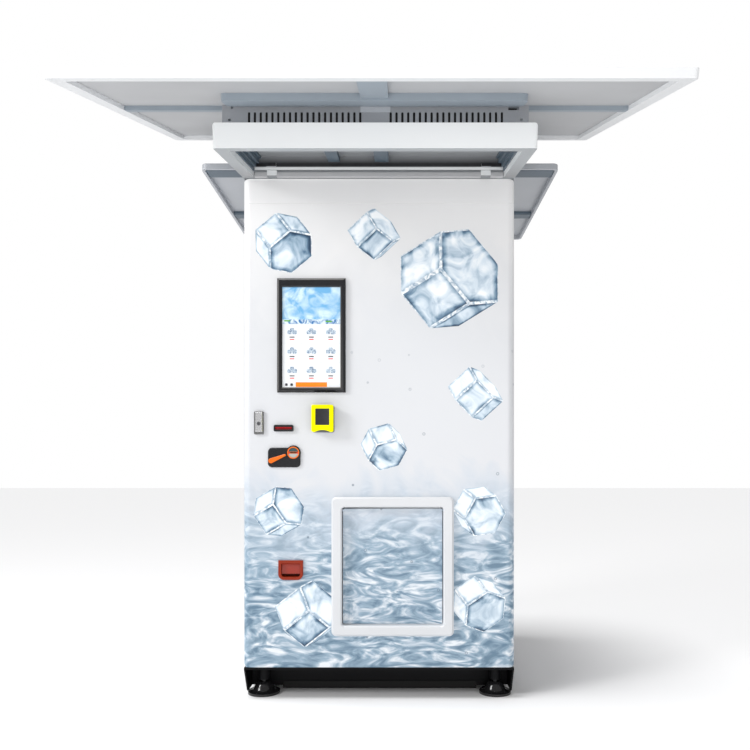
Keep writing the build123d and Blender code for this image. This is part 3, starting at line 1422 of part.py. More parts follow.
def door_gasket():
    # Soft bulb profile round the door's back
    half = HALF - GASKET_INSET
    low = DOOR_BOTTOM + GASKET_INSET
    high = DOOR_TOP - GASKET_INSET
    height = high - low
    middle = (high + low) / 2
    outer = window(0, middle, 2 * half, height, 12)
    inner = window(0, middle, 2 * (half - GASKET_WIDTH), height - 2 * GASKET_WIDTH, 4)
    return seen_from_front(outer - inner, DOOR_THICKNESS, DOOR_THICKNESS + GASKET_GAP - 0.4)


def screen_bezel():
    # Bevelled frame, wider above the picture than below it
    outline = Pos(SCREEN_X, SCREEN_Z) * Rectangle(SCREEN_WIDTH, SCREEN_HEIGHT)
    block = seen_from_front(outline, -SCREEN_PROUD, 0)
    front = block.edges().group_by(Axis.Y)[0]
    block = chamfer(front, SCREEN_BEVEL, SCREEN_BEVEL)
    block -= seen_from_front(display_hole(0), -SCREEN_PROUD - 1, 1)
    inner = block.faces().filter_by(Axis.Y).sort_by(Axis.Y)[0].inner_wires()[0].edges()
    return chamfer(inner, 4)


def touch_screen():
    # Glass in the frame with the display's back behind it
    y0 = -SCREEN_PROUD + GLASS_SETBACK
    glass = seen_from_front(display_hole(-0.4), y0, y0 + GLASS_THICKNESS)
    return glass + seen_from_front(display_hole(-2), y0 + GLASS_THICKNESS, DISPLAY_DEPTH)


def lock_housing():
    # Dish that the pop-out handle lies in
    outer = window(LOCK_X, LOCK_Z, LOCK_WIDTH, LOCK_HEIGHT, 4)
    inner = window(LOCK_X, LOCK_Z, LOCK_WIDTH - 2 * LOCK_WALL, LOCK_HEIGHT - 2 * LOCK_WALL, 2)
    dish = seen_from_front(outer, -LOCK_PROUD, 0)
    dish = chamfer(dish.edges().group_by(Axis.Y)[0], 1.5)
    neck = window(LOCK_X, LOCK_Z, LOCK_WIDTH - 6, LOCK_HEIGHT - 6, 2)
    dish += seen_from_front(neck, 0, LOCK_DEPTH)
    throat = window(LOCK_X, LOCK_Z, LOCK_WIDTH - 2 * LOCK_LEDGE, LOCK_HEIGHT - 2 * LOCK_LEDGE, 1)
    dish -= seen_from_front(inner, -LOCK_PROUD - 1, 0)
    dish -= seen_from_front(throat, -1, LOCK_DEPTH - LOCK_BACK)
    reach = lock_pin_reach() + PART_CLEARANCE
    bore = LOCK_PIN_RADIUS + RUNNING_CLEARANCE
    return dish - rod_x(-LOCK_PROUD / 2, LOCK_PIN_Z, bore, LOCK_X - reach, LOCK_X + reach)


def lock_pin_reach():
    # Half the length of the handle's pin, whose ends lie in the dish's walls
    return LOCK_WIDTH / 2 - LOCK_WALL + LOCK_PIN_LAP


def lock_handle():
    # Paddle that swings out about a pin near its lower end, with the cylinder's bore through it
    width = LOCK_WIDTH - 2 * LOCK_WALL - 2 * PART_CLEARANCE
    top = LOCK_Z + LOCK_HEIGHT / 2 - LOCK_WALL - PART_CLEARANCE
    low = LOCK_PIN_Z - LOCK_HEEL
    paddle = window(LOCK_X, (top + low) / 2, width, top - low, 2)
    handle = seen_from_front(paddle, -LOCK_PROUD - 1, LOCK_PADDLE_BACK)
    handle = chamfer(handle.edges().group_by(Axis.Y)[0], 1)
    z = LOCK_Z + LOCK_CYLINDER_DROP
    handle += rod_y(LOCK_X, z, LOCK_CYLINDER_RADIUS + LOCK_BOSS_WALL, LOCK_PADDLE_BACK, LOCK_BOSS_LENGTH)
    bore = LOCK_CYLINDER_RADIUS + RUNNING_CLEARANCE
    handle -= rod_y(LOCK_X, z, bore, -LOCK_PROUD - 2, LOCK_BOSS_LENGTH + 1)
    reach = lock_pin_reach()
    return handle + rod_x(-LOCK_PROUD / 2, LOCK_PIN_Z, LOCK_PIN_RADIUS, LOCK_X - reach, LOCK_X + reach)


def lock_cylinder():
    # Key plug with a keyway in its face and a cam at its inner end
    z = LOCK_Z + LOCK_CYLINDER_DROP
    back = LOCK_CYLINDER_LENGTH
    plug = rod_y(LOCK_X, z, LOCK_CYLINDER_RADIUS, -LOCK_PROUD - PART_CLEARANCE, back)
    wide = KEYWAY_WIDTH / 2
    high = KEYWAY_HEIGHT / 2
    keyway_back = -LOCK_PROUD + KEYWAY_DEPTH
    plug -= slab(LOCK_X - wide, LOCK_X + wide, -LOCK_PROUD - 1, keyway_back, z - high, z + high)
    wide = CAM_LENGTH / 2
    high = CAM_HEIGHT / 2
    return plug + slab(LOCK_X - wide, LOCK_X + wide, back, back + CAM_THICKNESS, z - high, z + high)


def bill_slot():
    # Rounded bar with a long lit mouth
    outer = window(BILL_X, BILL_Z, BILL_WIDTH, BILL_HEIGHT, BILL_CORNER)
    bar = seen_from_front(outer, -BILL_PROUD, 0)
    bar = fillet(bar.edges().group_by(Axis.Y)[0], 3)
    neck = Pos(BILL_X, BILL_Z) * Rectangle(BILL_SLOT_WIDTH + 2 * BILL_NECK_WALL, BILL_NECK_HEIGHT)
    bar += seen_from_front(neck, 0, BILL_NECK_LENGTH)
    mouth = window(BILL_X, BILL_Z, BILL_SLOT_WIDTH, BILL_SLOT_HEIGHT, 1.5)
    return bar - seen_from_front(mouth, -BILL_PROUD - 1, BILL_SLOT_DEPTH)


def card_reader():
    # Grey body that widens to the door, with its cable spigot
    y0 = -READER_PROUD + READER_FACE_DEPTH
    t = READER_TAPER
    near = window(READER_X, READER_Z, READER_WIDTH - t, READER_HEIGHT - t, READER_CORNER)
    far = window(READER_X, READER_Z, READER_WIDTH, READER_HEIGHT, READER_CORNER)
    body = loft([Plane.XZ.offset(-y0) * near, Plane.XZ * far])
    return body + rod_y(READER_X, READER_Z, SPIGOT_RADIUS, 0, SPIGOT_LENGTH)


def reader_glass(margin):
    width = READER_WINDOW_WIDTH - 2 * margin
    height = READER_WINDOW_HEIGHT - 2 * margin
    return window(READER_X, READER_Z + READER_WINDOW_RISE, width, height, 2)


def reader_face():
    # Bright front with a window, and a curved lip cut into its lower edge
    y0 = -READER_PROUD
    y1 = y0 + READER_FACE_DEPTH
    outline = window(READER_X, READER_Z, READER_WIDTH, READER_HEIGHT, READER_CORNER)
    low = READER_Z - READER_HEIGHT / 2
    outline -= Pos(READER_X, low - READER_LIP_RADIUS + READER_LIP_RISE) * Circle(READER_LIP_RADIUS)
    face = seen_from_front(outline, y0, y1)
    face = chamfer(face.edges().group_by(Axis.Y)[0], 1.5)
    seat = y0 + READER_WINDOW_SETBACK + READER_WINDOW_THICKNESS
    return face - seen_from_front(reader_glass(0), y0 - 1, seat)


def reader_window():
    y0 = -READER_PROUD + READER_WINDOW_SETBACK
    return seen_from_front(reader_glass(READER_WINDOW_GAP), y0, y0 + READER_WINDOW_THICKNESS)


def coin_body(inset, radius):
    # Outline of the coin device behind its bezel
    return window(COIN_X, COIN_Z - COIN_BODY_DROP, COIN_WIDTH - 2 * inset, COIN_HEIGHT - 2 * inset, radius)


def coin_bezel():
    # Black plate with a round boss that stands over its upper edge
    plate = window(COIN_X, COIN_Z, COIN_WIDTH, COIN_HEIGHT, COIN_RADIUS)
    plate += Pos(COIN_BOSS_X, COIN_BOSS_Z) * Circle(COIN_BOSS_RADIUS)
    bezel = seen_from_front(plate, -COIN_PROUD, 0)
    bezel = chamfer(bezel.edges().group_by(Axis.Y)[0], 2.5)
    bezel += seen_from_front(coin_body(COIN_BODY_INSET, 6), 0, COIN_BODY_LENGTH)
    disc_back = -COIN_PROUD + COIN_DISC_DEPTH
    bezel -= rod_y(COIN_BOSS_X, COIN_BOSS_Z, COIN_RING_RADIUS, -COIN_PROUD - 1, disc_back)
    slot = Pos(COIN_BOSS_X, COIN_BOSS_Z) * Rectangle(COIN_SLOT_WIDTH, COIN_SLOT_HEIGHT)
    bezel -= seen_from_front(slot, -COIN_PROUD, COIN_SLOT_DEPTH)
    bore = LEVER_SHAFT_RADIUS + RUNNING_CLEARANCE
    return bezel - rod_y(LEVER_X, LEVER_Z, bore, -COIN_PROUD - 1, -COIN_PROUD + LEVER_SOCKET)


def coin_ring():
    # Bright ring round a slotted disc
    y0 = -COIN_PROUD
    ring = rod_y(COIN_BOSS_X, COIN_BOSS_Z, COIN_RING_RADIUS, y0 - COIN_RING_PROUD, y0 + COIN_DISC_DEPTH)
    ring = chamfer(ring.edges().group_by(Axis.Y)[0], 1)
    ring -= rod_y(COIN_BOSS_X, COIN_BOSS_Z, COIN_RING_INNER, y0 - COIN_RING_PROUD - 1, y0)
    slot = Pos(COIN_BOSS_X, COIN_BOSS_Z) * SlotOverall(COIN_SLOT_WIDTH, COIN_SLOT_HEIGHT)
    return ring - seen_from_front(slot, y0 - 1, y0 + COIN_DISC_DEPTH + 1)


def return_lever():
    # Tapered lever: two round ends joined by tangent sides, on a short shaft
    reach = math.hypot(LEVER_TIP_X - LEVER_X, LEVER_TIP_Z - LEVER_Z)
    angle = math.degrees(math.atan2(LEVER_TIP_Z - LEVER_Z, LEVER_TIP_X - LEVER_X))
    shape = make_hull((Circle(LEVER_END_RADIUS) + Pos(reach, 0) * Circle(LEVER_TIP_RADIUS)).edges())
    shape = Pos(LEVER_X, LEVER_Z) * (Rot(0, 0, angle) * shape)
    y0 = -COIN_PROUD - 1
    lever = seen_from_front(shape, y0 - LEVER_THICKNESS, y0)
    lever = chamfer(lever.edges().group_by(Axis.Y)[0], 1.5)
    return lever + rod_y(LEVER_X, LEVER_Z, LEVER_SHAFT_RADIUS, y0, -COIN_PROUD + LEVER_SOCKET - 1)


def coin_cup():
    # Scoop let into the door, with a proud rim
    rim = seen_from_front(cup_outline(0), -CUP_PROUD, 0)
    rim = fillet(rim.edges().group_by(Axis.Y)[0], 3)
    cup = rim + seen_from_front(cup_outline(-CUP_RIM), 0, CUP_DEPTH)
    cup -= seen_from_front(cup_outline(-CUP_RIM - CUP_WALL), -CUP_PROUD - 1, CUP_DEPTH - CUP_WALL)
    reach = CUP_WIDTH / 2 - CUP_RIM - CUP_WALL + 2.5
    bore = CUP_PIN_RADIUS + RUNNING_CLEARANCE
    return cup - rod_x(CUP_AXIS_Y, CUP_AXIS_Z, bore, CUP_X - reach, CUP_X + reach)


def cup_flap():
    # Small flap that hangs from a pin at the cup's top
    half = CUP_WIDTH / 2 - CUP_RIM - CUP_WALL - 1
    low = CUP_Z - CUP_HEIGHT / 2 + CUP_BOTTOM_RADIUS
    y = CUP_AXIS_Y
    thick = CUP_FLAP_THICKNESS / 2
    flap = slab(CUP_X - half, CUP_X + half, y - thick, y + thick, low, CUP_AXIS_Z)
    flap += rod_x(y, CUP_AXIS_Z, CUP_EYE_RADIUS, CUP_X - half, CUP_X + half)
    reach = CUP_WIDTH / 2 - CUP_RIM - CUP_WALL + 2
    return flap + rod_x(y, CUP_AXIS_Z, CUP_PIN_RADIUS, CUP_X - reach, CUP_X + reach)


def pickup_frame():
    # Wide bevelled frame, with a sleeve that lines the opening through the door
    outer = window(PICKUP_X, PICKUP_Z, PICKUP_WIDTH, PICKUP_HEIGHT, PICKUP_OUTER_RADIUS)
    inner = window(PICKUP_X, PICKUP_Z, OPENING_WIDTH, OPENING_HEIGHT, PICKUP_INNER_RADIUS)
    frame = seen_from_front(outer, -PICKUP_PROUD, 0)
    frame = chamfer(frame.edges().group_by(Axis.Y)[0], PICKUP_BEVEL)
    sleeve = Rectangle(OPENING_WIDTH + 2 * SLEEVE_WALL, OPENING_HEIGHT + 2 * SLEEVE_WALL)
    sleeve = Pos(PICKUP_X, PICKUP_Z) * sleeve
    frame += seen_from_front(sleeve, 0, DOOR_THICKNESS)
    frame -= seen_from_front(inner, -PICKUP_PROUD - 1, DOOR_THICKNESS + 1)
    edge = frame.faces().filter_by(Axis.Y).sort_by(Axis.Y)[0].inner_wires()[0].edges()
    frame = chamfer(edge, 5)
    reach = OPENING_WIDTH / 2 + 4
    bore = FLAP_PIN_RADIUS + RUNNING_CLEARANCE
    return frame - rod_x(FLAP_AXIS_Y, FLAP_AXIS_Z, bore, PICKUP_X - reach, PICKUP_X + reach)


def pickup_flap():
    # Push flap that hangs on two pins, with stiffening folds behind it
    gap = FLAP_GAP
    y0 = FLAP_SETBACK
    width = OPENING_WIDTH - 2 * gap
    top = FLAP_AXIS_Z + FLAP_THICKNESS / 2
    low = OPENING_BOTTOM + gap
    face = window(PICKUP_X, (top + low) / 2, width, top - low, PICKUP_INNER_RADIUS - gap)
    flap = seen_from_front(face, y0, y0 + FLAP_THICKNESS)
    wide = width - 60
    hollow = window(PICKUP_X, (top + low) / 2, wide, top - low - 90, 8)
    rib = Pos(PICKUP_X, (top + low) / 2) * Rectangle(wide + 2, 24)
    flap -= seen_from_front(hollow - rib, y0 + FLAP_THICKNESS - FLAP_STIFFENER, y0 + FLAP_THICKNESS + 1)
    reach = OPENING_WIDTH / 2 + 3.5
    return flap + rod_x(FLAP_AXIS_Y, FLAP_AXIS_Z, FLAP_PIN_RADIUS, PICKUP_X - reach, PICKUP_X + reach)


def build():
    os.makedirs("parts", exist_ok=True)
    save("base_frame", base_frame())
    for name, place in zip(("front_left", "front_right", "rear_left", "rear_right"), foot_places()):
        save(f"foot_{name}", levelling_foot(*place))
    side = side_panel()
    save("side_panel_right", side)
    save("side_panel_left", mirrored(side))
    save("rear_panel", rear_panel())
    save("floor_panel", floor_panel())
    save("top_deck", top_deck())
    save("header_panel", header_panel())
    save("ice_bin", ice_bin())
    save("ice_auger", ice_auger())
    save("auger_motor", auger_motor())
    save("ice_chute", ice_chute())
    save("delivery_bay", *delivery_bay())
    save("compressor", compressor())
    save("ice_maker", ice_maker(), water_trough())
    save("control_box", control_box())
    save("condenser", condenser())
    save("fan_shroud", fan_shroud())
    save("fan_left", fan(-1))
    save("fan_right", fan(1))
    save("grille_panel", grille_panel())
    save("plenum_duct", plenum_duct() + housing_front())
    wall = housing_side()
    save("housing_side_right", wall)
    save("housing_side_left", mirrored(wall))
    save("housing_rear", housing_rear())
    save("housing_cover", housing_cover())
    save("roof_frame", *roof_frame())
    save("roof_panel", roof_panel())
    save("roof_ribs", *roof_ribs())
    save("roof_brackets", *roof_brackets())
    save("visor_pan", visor_pan())
    save("visor_rails", *visor_rails(), *visor_ribs())
    save("visor_bar", visor_bar())
    save("wing_panel_right", wing_panel())
    save("wing_panel_left", mirrored(wing_panel()))
    save("wing_ribs_right", *wing_ribs())
    save("wing_ribs_left", *[mirrored(rib) for rib in wing_ribs()])
    save("door_skin", *door_skin())
    save("door_core", *door_core())
    save("service_case", service_case())
    save("door_gasket", door_gasket())
    save("screen_bezel", screen_bezel())
    save("touch_screen", touch_screen())
    save("lock_housing", lock_housing())
    save("lock_handle", lock_handle())
    save("lock_cylinder", lock_cylinder())
    save("bill_slot", bill_slot())
    save("card_reader", card_reader())
    save("reader_face", reader_face())
    save("reader_window", reader_window())
    save("coin_bezel", coin_bezel())
    save("coin_ring", coin_ring())
    save("return_lever", return_lever())
    save("coin_cup", coin_cup())
    save("cup_flap", cup_flap())
    save("pickup_frame", pickup_frame())
    save("pickup_flap", pickup_flap())


build()
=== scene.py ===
import math

import bmesh
import bpy
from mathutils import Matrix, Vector


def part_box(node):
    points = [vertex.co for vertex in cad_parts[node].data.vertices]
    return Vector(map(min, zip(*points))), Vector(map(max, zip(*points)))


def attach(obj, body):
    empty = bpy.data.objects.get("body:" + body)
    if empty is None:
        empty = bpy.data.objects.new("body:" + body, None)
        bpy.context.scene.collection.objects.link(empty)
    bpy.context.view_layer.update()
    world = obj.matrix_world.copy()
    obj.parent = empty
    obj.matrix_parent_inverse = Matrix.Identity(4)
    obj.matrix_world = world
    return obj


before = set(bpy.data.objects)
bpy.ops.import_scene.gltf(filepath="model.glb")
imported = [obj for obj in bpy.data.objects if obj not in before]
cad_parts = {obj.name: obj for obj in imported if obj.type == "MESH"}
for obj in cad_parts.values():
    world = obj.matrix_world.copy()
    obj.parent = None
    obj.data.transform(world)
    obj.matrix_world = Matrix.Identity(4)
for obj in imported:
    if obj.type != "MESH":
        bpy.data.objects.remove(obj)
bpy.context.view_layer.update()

# Studio. A plain pale floor and a white room, with one large soft light from the upper left that
# throws the machine's shadow to the right, and a fill that opens the shade under the canopy.
front_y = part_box("door_skin")[0][1]
camera_distance = 3.0
camera_side = 0.077
camera_height = 0.939
focal_pixels = 742
image_side = 750
vanishing_point = (398, 467)

bpy.ops.object.select_all(action="DESELECT")
bpy.ops.mesh.primitive_plane_add(size=60, location=(0, 0, 0))
floor = bpy.context.object
floor.name = "studio_floor"
floor_paint = bpy.data.materials.new("studio floor")
floor_paint.use_nodes = True
floor_paint.node_tree.nodes["Principled BSDF"].inputs["Base Color"].default_value = (0.93, 0.93, 0.935, 1)
floor_paint.node_tree.nodes["Principled BSDF"].inputs["Roughness"].default_value = 0.7
floor.data.materials.append(floor_paint)

room = bpy.data.worlds.new("studio room")
room.use_nodes = True
seen_white = 1.0
lit_white = 0.42
room_tree = room.node_tree
backdrop = room_tree.nodes["Background"]
ray = room_tree.nodes.new("ShaderNodeLightPath")
strength = room_tree.nodes.new("ShaderNodeMapRange")
strength.inputs["To Min"].default_value = lit_white
strength.inputs["To Max"].default_value = seen_white
room_tree.links.new(ray.outputs["Is Camera Ray"], strength.inputs["Value"])
room_tree.links.new(strength.outputs["Result"], backdrop.inputs["Strength"])
backdrop.inputs["Color"].default_value = (1, 1, 1, 1)
bpy.context.scene.world = room
bpy.context.scene.view_settings.view_transform = "Standard"


def studio_light(name, place, aim, size, power):
    bpy.ops.object.light_add(type="AREA", location=place)
    light = bpy.context.object
    light.name = name
    light.data.size = size
    light.data.energy = power
    light.rotation_euler = (Vector(aim) - Vector(place)).to_track_quat("-Z", "Y").to_euler()


studio_light("key_light", (-4.6, -3.0, 3.4), (-0.2, 0, 1.1), 1.6, 150)
studio_light("fill_light", (0.8, -5.2, 1.0), (0, 0, 1.9), 3.0, 60)

# A wide, even light from high on the left keeps the floor white out to the horizon. The canopy
# doesn't shade it, so that only the cabinet's own short shadow falls on the floor.
bpy.ops.object.light_add(type="SUN", location=(-4, -3, 6))
ceiling = bpy.context.object
ceiling.name = "ceiling_light"
ceiling.data.energy = 1.95
ceiling.data.angle = math.radians(24)
ceiling.rotation_euler = (Vector((0, 0, 0)) - Vector((-1.5, -0.4, 4.6))).to_track_quat("-Z", "Y").to_euler()

blockers = bpy.data.collections.new("ceiling_light_blockers")
cabinet_walls = ("side_panel_left", "side_panel_right", "door_skin", "rear_panel")
for node in cabinet_walls + ("base_frame", "foot_front_left", "foot_front_right"):
    blockers.objects.link(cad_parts[node])
ceiling.light_linking.blocker_collection = blockers

lens = bpy.data.cameras.new("photo_camera")
lens.sensor_width = 36
lens.lens = focal_pixels / image_side * lens.sensor_width
lens.shift_x = (image_side / 2 - vanishing_point[0]) / image_side
lens.shift_y = (vanishing_point[1] - image_side / 2) / image_side
camera = bpy.data.objects.new("photo_camera", lens)
camera.location = (camera_side, front_y - camera_distance, camera_height)
camera.rotation_euler = (math.radians(90), 0, 0)
bpy.context.scene.collection.objects.link(camera)
bpy.context.scene.camera = camera


# Base. A welded frame of folded steel with a dark skirt set back under the cabinet, powder coated
# satin black with the fine orange-peel that such paint has.
def coated(name, colour, roughness, grain=900.0, bump=0.02, shade=0.06, metallic=0.0):
    """Paint or moulding: a little colour drift over the piece, and a fine grain in its height."""
    material = bpy.data.materials.new(name)
    material.use_nodes = True
    tree = material.node_tree
    shader = tree.nodes["Principled BSDF"]
    shader.inputs["Roughness"].default_value = roughness
    shader.inputs["Metallic"].default_value = metallic
    place = tree.nodes.new("ShaderNodeTexCoord")
    drift = tree.nodes.new("ShaderNodeTexNoise")
    drift.inputs["Scale"].default_value = 3.2
    drift.inputs["Detail"].default_value = 3
    tone = tree.nodes.new("ShaderNodeValToRGB")
    tone.color_ramp.elements[0].position = 0.3
    tone.color_ramp.elements[1].position = 0.7
    tone.color_ramp.elements[0].color = [c * (1 - shade) for c in colour] + [1]
    tone.color_ramp.elements[1].color = [min(1, c * (1 + shade)) for c in colour] + [1]
    fine = tree.nodes.new("ShaderNodeTexNoise")
    fine.inputs["Scale"].default_value = grain
    height = tree.nodes.new("ShaderNodeBump")
    height.inputs["Strength"].default_value = bump * 10
    height.inputs["Distance"].default_value = 0.0002
    tree.links.new(place.outputs["Object"], drift.inputs["Vector"])
    tree.links.new(place.outputs["Object"], fine.inputs["Vector"])
    tree.links.new(drift.outputs["Fac"], tone.inputs["Fac"])
    tree.links.new(tone.outputs["Color"], shader.inputs["Base Color"])
    tree.links.new(fine.outputs["Fac"], height.inputs["Height"])
    tree.links.new(height.outputs["Normal"], shader.inputs["Normal"])
    return material


def painted_light_by_facing(material, colour, direction, start=0.3, stop=0.6, limits=()):
    """Painted light and shade: another tone on the faces that are turned a given way, where the light falls
    on them or doesn't. Each limit is an axis with the two coordinates between which the tone comes in."""
    tree = material.node_tree
    shader = tree.nodes["Principled BSDF"]
    plain = shader.inputs["Base Color"].links[0].from_socket
    side = tree.nodes.new("ShaderNodeNewGeometry")
    along = tree.nodes.new("ShaderNodeVectorMath")
    along.operation = "DOT_PRODUCT"
    along.inputs[1].default_value = direction
    amount = tree.nodes.new("ShaderNodeMapRange")
    amount.inputs["From Min"].default_value = start
    amount.inputs["From Max"].default_value = stop
    mixed = tree.nodes.new("ShaderNodeMix")
    mixed.data_type = "RGBA"
    mixed.inputs[7].default_value = tuple(colour) + (1,)
    tree.links.new(side.outputs["Normal"], along.inputs[0])
    tree.links.new(along.outputs["Value"], amount.inputs["Value"])
    share = amount.outputs["Result"]
    place = next(n for n in tree.nodes if n.bl_idname == "ShaderNodeTexCoord")
    for axis, low, high in limits:
        split = tree.nodes.new("ShaderNodeSeparateXYZ")
        within = tree.nodes.new("ShaderNodeMapRange")
        within.inputs["From Min"].default_value = low
        within.inputs["From Max"].default_value = high
        both = tree.nodes.new("ShaderNodeMath")
        both.operation = "MULTIPLY"
        tree.links.new(place.outputs["Object"], split.inputs["Vector"])
        tree.links.new(split.outputs[axis], within.inputs["Value"])
        tree.links.new(share, both.inputs[0])
        tree.links.new(within.outputs["Result"], both.inputs[1])
        share = both.outputs["Value"]
    tree.links.new(share, mixed.inputs["Factor"])
    tree.links.new(plain, mixed.inputs[6])
    tree.links.new(mixed.outputs[2], shader.inputs["Base Color"])
    return material


def finish(material, *nodes):
    """Gives CAD nodes their material, in every slot that they have."""
    for node in nodes:
        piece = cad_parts[node]
        if not piece.material_slots:
            piece.data.materials.append(material)
        for slot in piece.material_slots:
            slot.material = material


def soft_box(name, size, place, edge, material, body):
    """A small box with rounded edges, set in its place and riding on a body."""
    bpy.ops.object.select_all(action="DESELECT")
    bpy.ops.mesh.primitive_cube_add(size=1, location=(0, 0, 0))
    box = bpy.context.object
    box.name = name
    box.scale = size
    bpy.ops.object.transform_apply(location=False, rotation=False, scale=True)
    rounding = box.modifiers.new("edge", "BEVEL")
    rounding.width = edge
    rounding.segments = 2
    bpy.ops.object.modifier_apply(modifier=rounding.name)
    box.location = place
    bpy.ops.object.transform_apply(location=True, rotation=False, scale=False)
    box.data.materials.append(material)
    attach(box, body)


base_paint = coated("base powder coat", (0.006, 0.006, 0.007), 0.5, grain=700)
base_paint.node_tree.nodes["Principled BSDF"].inputs["Specular IOR Level"].default_value = 0.1
finish(base_paint, "base_frame")

# Kick seal. A black rubber strip closes the gap between the kick plate and the floor. Its black is also
# painted shade: it fills the gap with the dark that lies under the cabinet, and it keeps the light from
# behind off the floor in front.
plinth_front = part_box("base_frame")[0][1]
kick_plate = 0.147
seal_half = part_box("foot_front_right")[0][0] - 0.006
seal_place = (0, plinth_front + kick_plate - 0.0025, 0.0165)
seal_rubber_and_shade = coated("kick seal rubber and shade", (0.004, 0.004, 0.004), 0.8, grain=500)
soft_box("kick_seal", (2 * seal_half, 0.004, 0.030), seal_place, 0.001, seal_rubber_and_shade, "cabinet")

# Levelling feet. Turned and cast, glossy black, each with a screw that stands in a sleeve.
foot_paint = coated("foot gloss black", (0.012, 0.012, 0.013), 0.16, grain=260, bump=0.03)
finish(foot_paint, "foot_front_left", "foot_front_right", "foot_rear_left", "foot_rear_right")

# Cabinet walls. Foamed sandwich panels with a white coated steel skin, satin, a little cool.
panel_white = coated("panel white", (0.80, 0.815, 0.85), 0.34, grain=520, bump=0.015, shade=0.015)
finish(panel_white, "side_panel_left", "side_panel_right", "rear_panel")
liner_white = coated("liner white", (0.78, 0.79, 0.80), 0.5, grain=400, bump=0.02, shade=0.02)
finish(liner_white, "floor_panel", "top_deck", "door_core")


# Ice path. The bin, auger, chute and delivery bay are folded from stainless sheet, brushed along
# its length so that the highlights draw out into streaks.
def brushed(name, colour, roughness, streak=(4, 4, 420)):
    material = coated(name, colour, roughness, grain=600, bump=0.0, shade=0.05, metallic=1.0)
    tree = material.node_tree
    place = next(n for n in tree.nodes if n.bl_idname == "ShaderNodeTexCoord")
    stretch = tree.nodes.new("ShaderNodeMapping")
    stretch.inputs["Scale"].default_value = streak
    lines = tree.nodes.new("ShaderNodeTexNoise")
    lines.inputs["Scale"].default_value = 2.0
    lines.inputs["Detail"].default_value = 4
    spread = tree.nodes.new("ShaderNodeMapRange")
    spread.inputs["To Min"].default_value = roughness * 0.75
    spread.inputs["To Max"].default_value = roughness * 1.3
    tree.links.new(place.outputs["Object"], stretch.inputs["Vector"])
    tree.links.new(stretch.outputs["Vector"], lines.inputs["Vector"])
    tree.links.new(lines.outputs["Fac"], spread.inputs["Value"])
    tree.links.new(spread.outputs["Result"], tree.nodes["Principled BSDF"].inputs["Roughness"])
    return material


stainless = brushed("brushed stainless", (0.62, 0.63, 0.64), 0.3)
finish(stainless, "ice_bin", "ice_auger", "ice_chute", "delivery_bay", "ice_maker")
galvanised = brushed("galvanised sheet", (0.5, 0.52, 0.53), 0.42, streak=(18, 18, 18))
finish(galvanised, "fan_shroud", "service_case")
finish(coated("gear motor grey", (0.12, 0.13, 0.14), 0.55, grain=300, bump=0.05), "auger_motor")
finish(coated("compressor black", (0.012, 0.012, 0.012), 0.38, grain=300, bump=0.04), "compressor")
finish(coated("condenser fins", (0.55, 0.56, 0.57), 0.36, metallic=1.0), "condenser")
finish(coated("fan black", (0.02, 0.02, 0.022), 0.5, grain=800), "fan_left", "fan_right")

# Door, header and flap film. A printed film wraps the white sheet: pale lavender white above, an
# icy blue-grey pool below, with drops, bubbles and water lines. The design is a generic one. Towards
# the top of the header the pale field is lighter still: painted light against the shade under the visor.
wrap_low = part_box("door_skin")[0][2]
wrap_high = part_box("header_panel")[1][2]


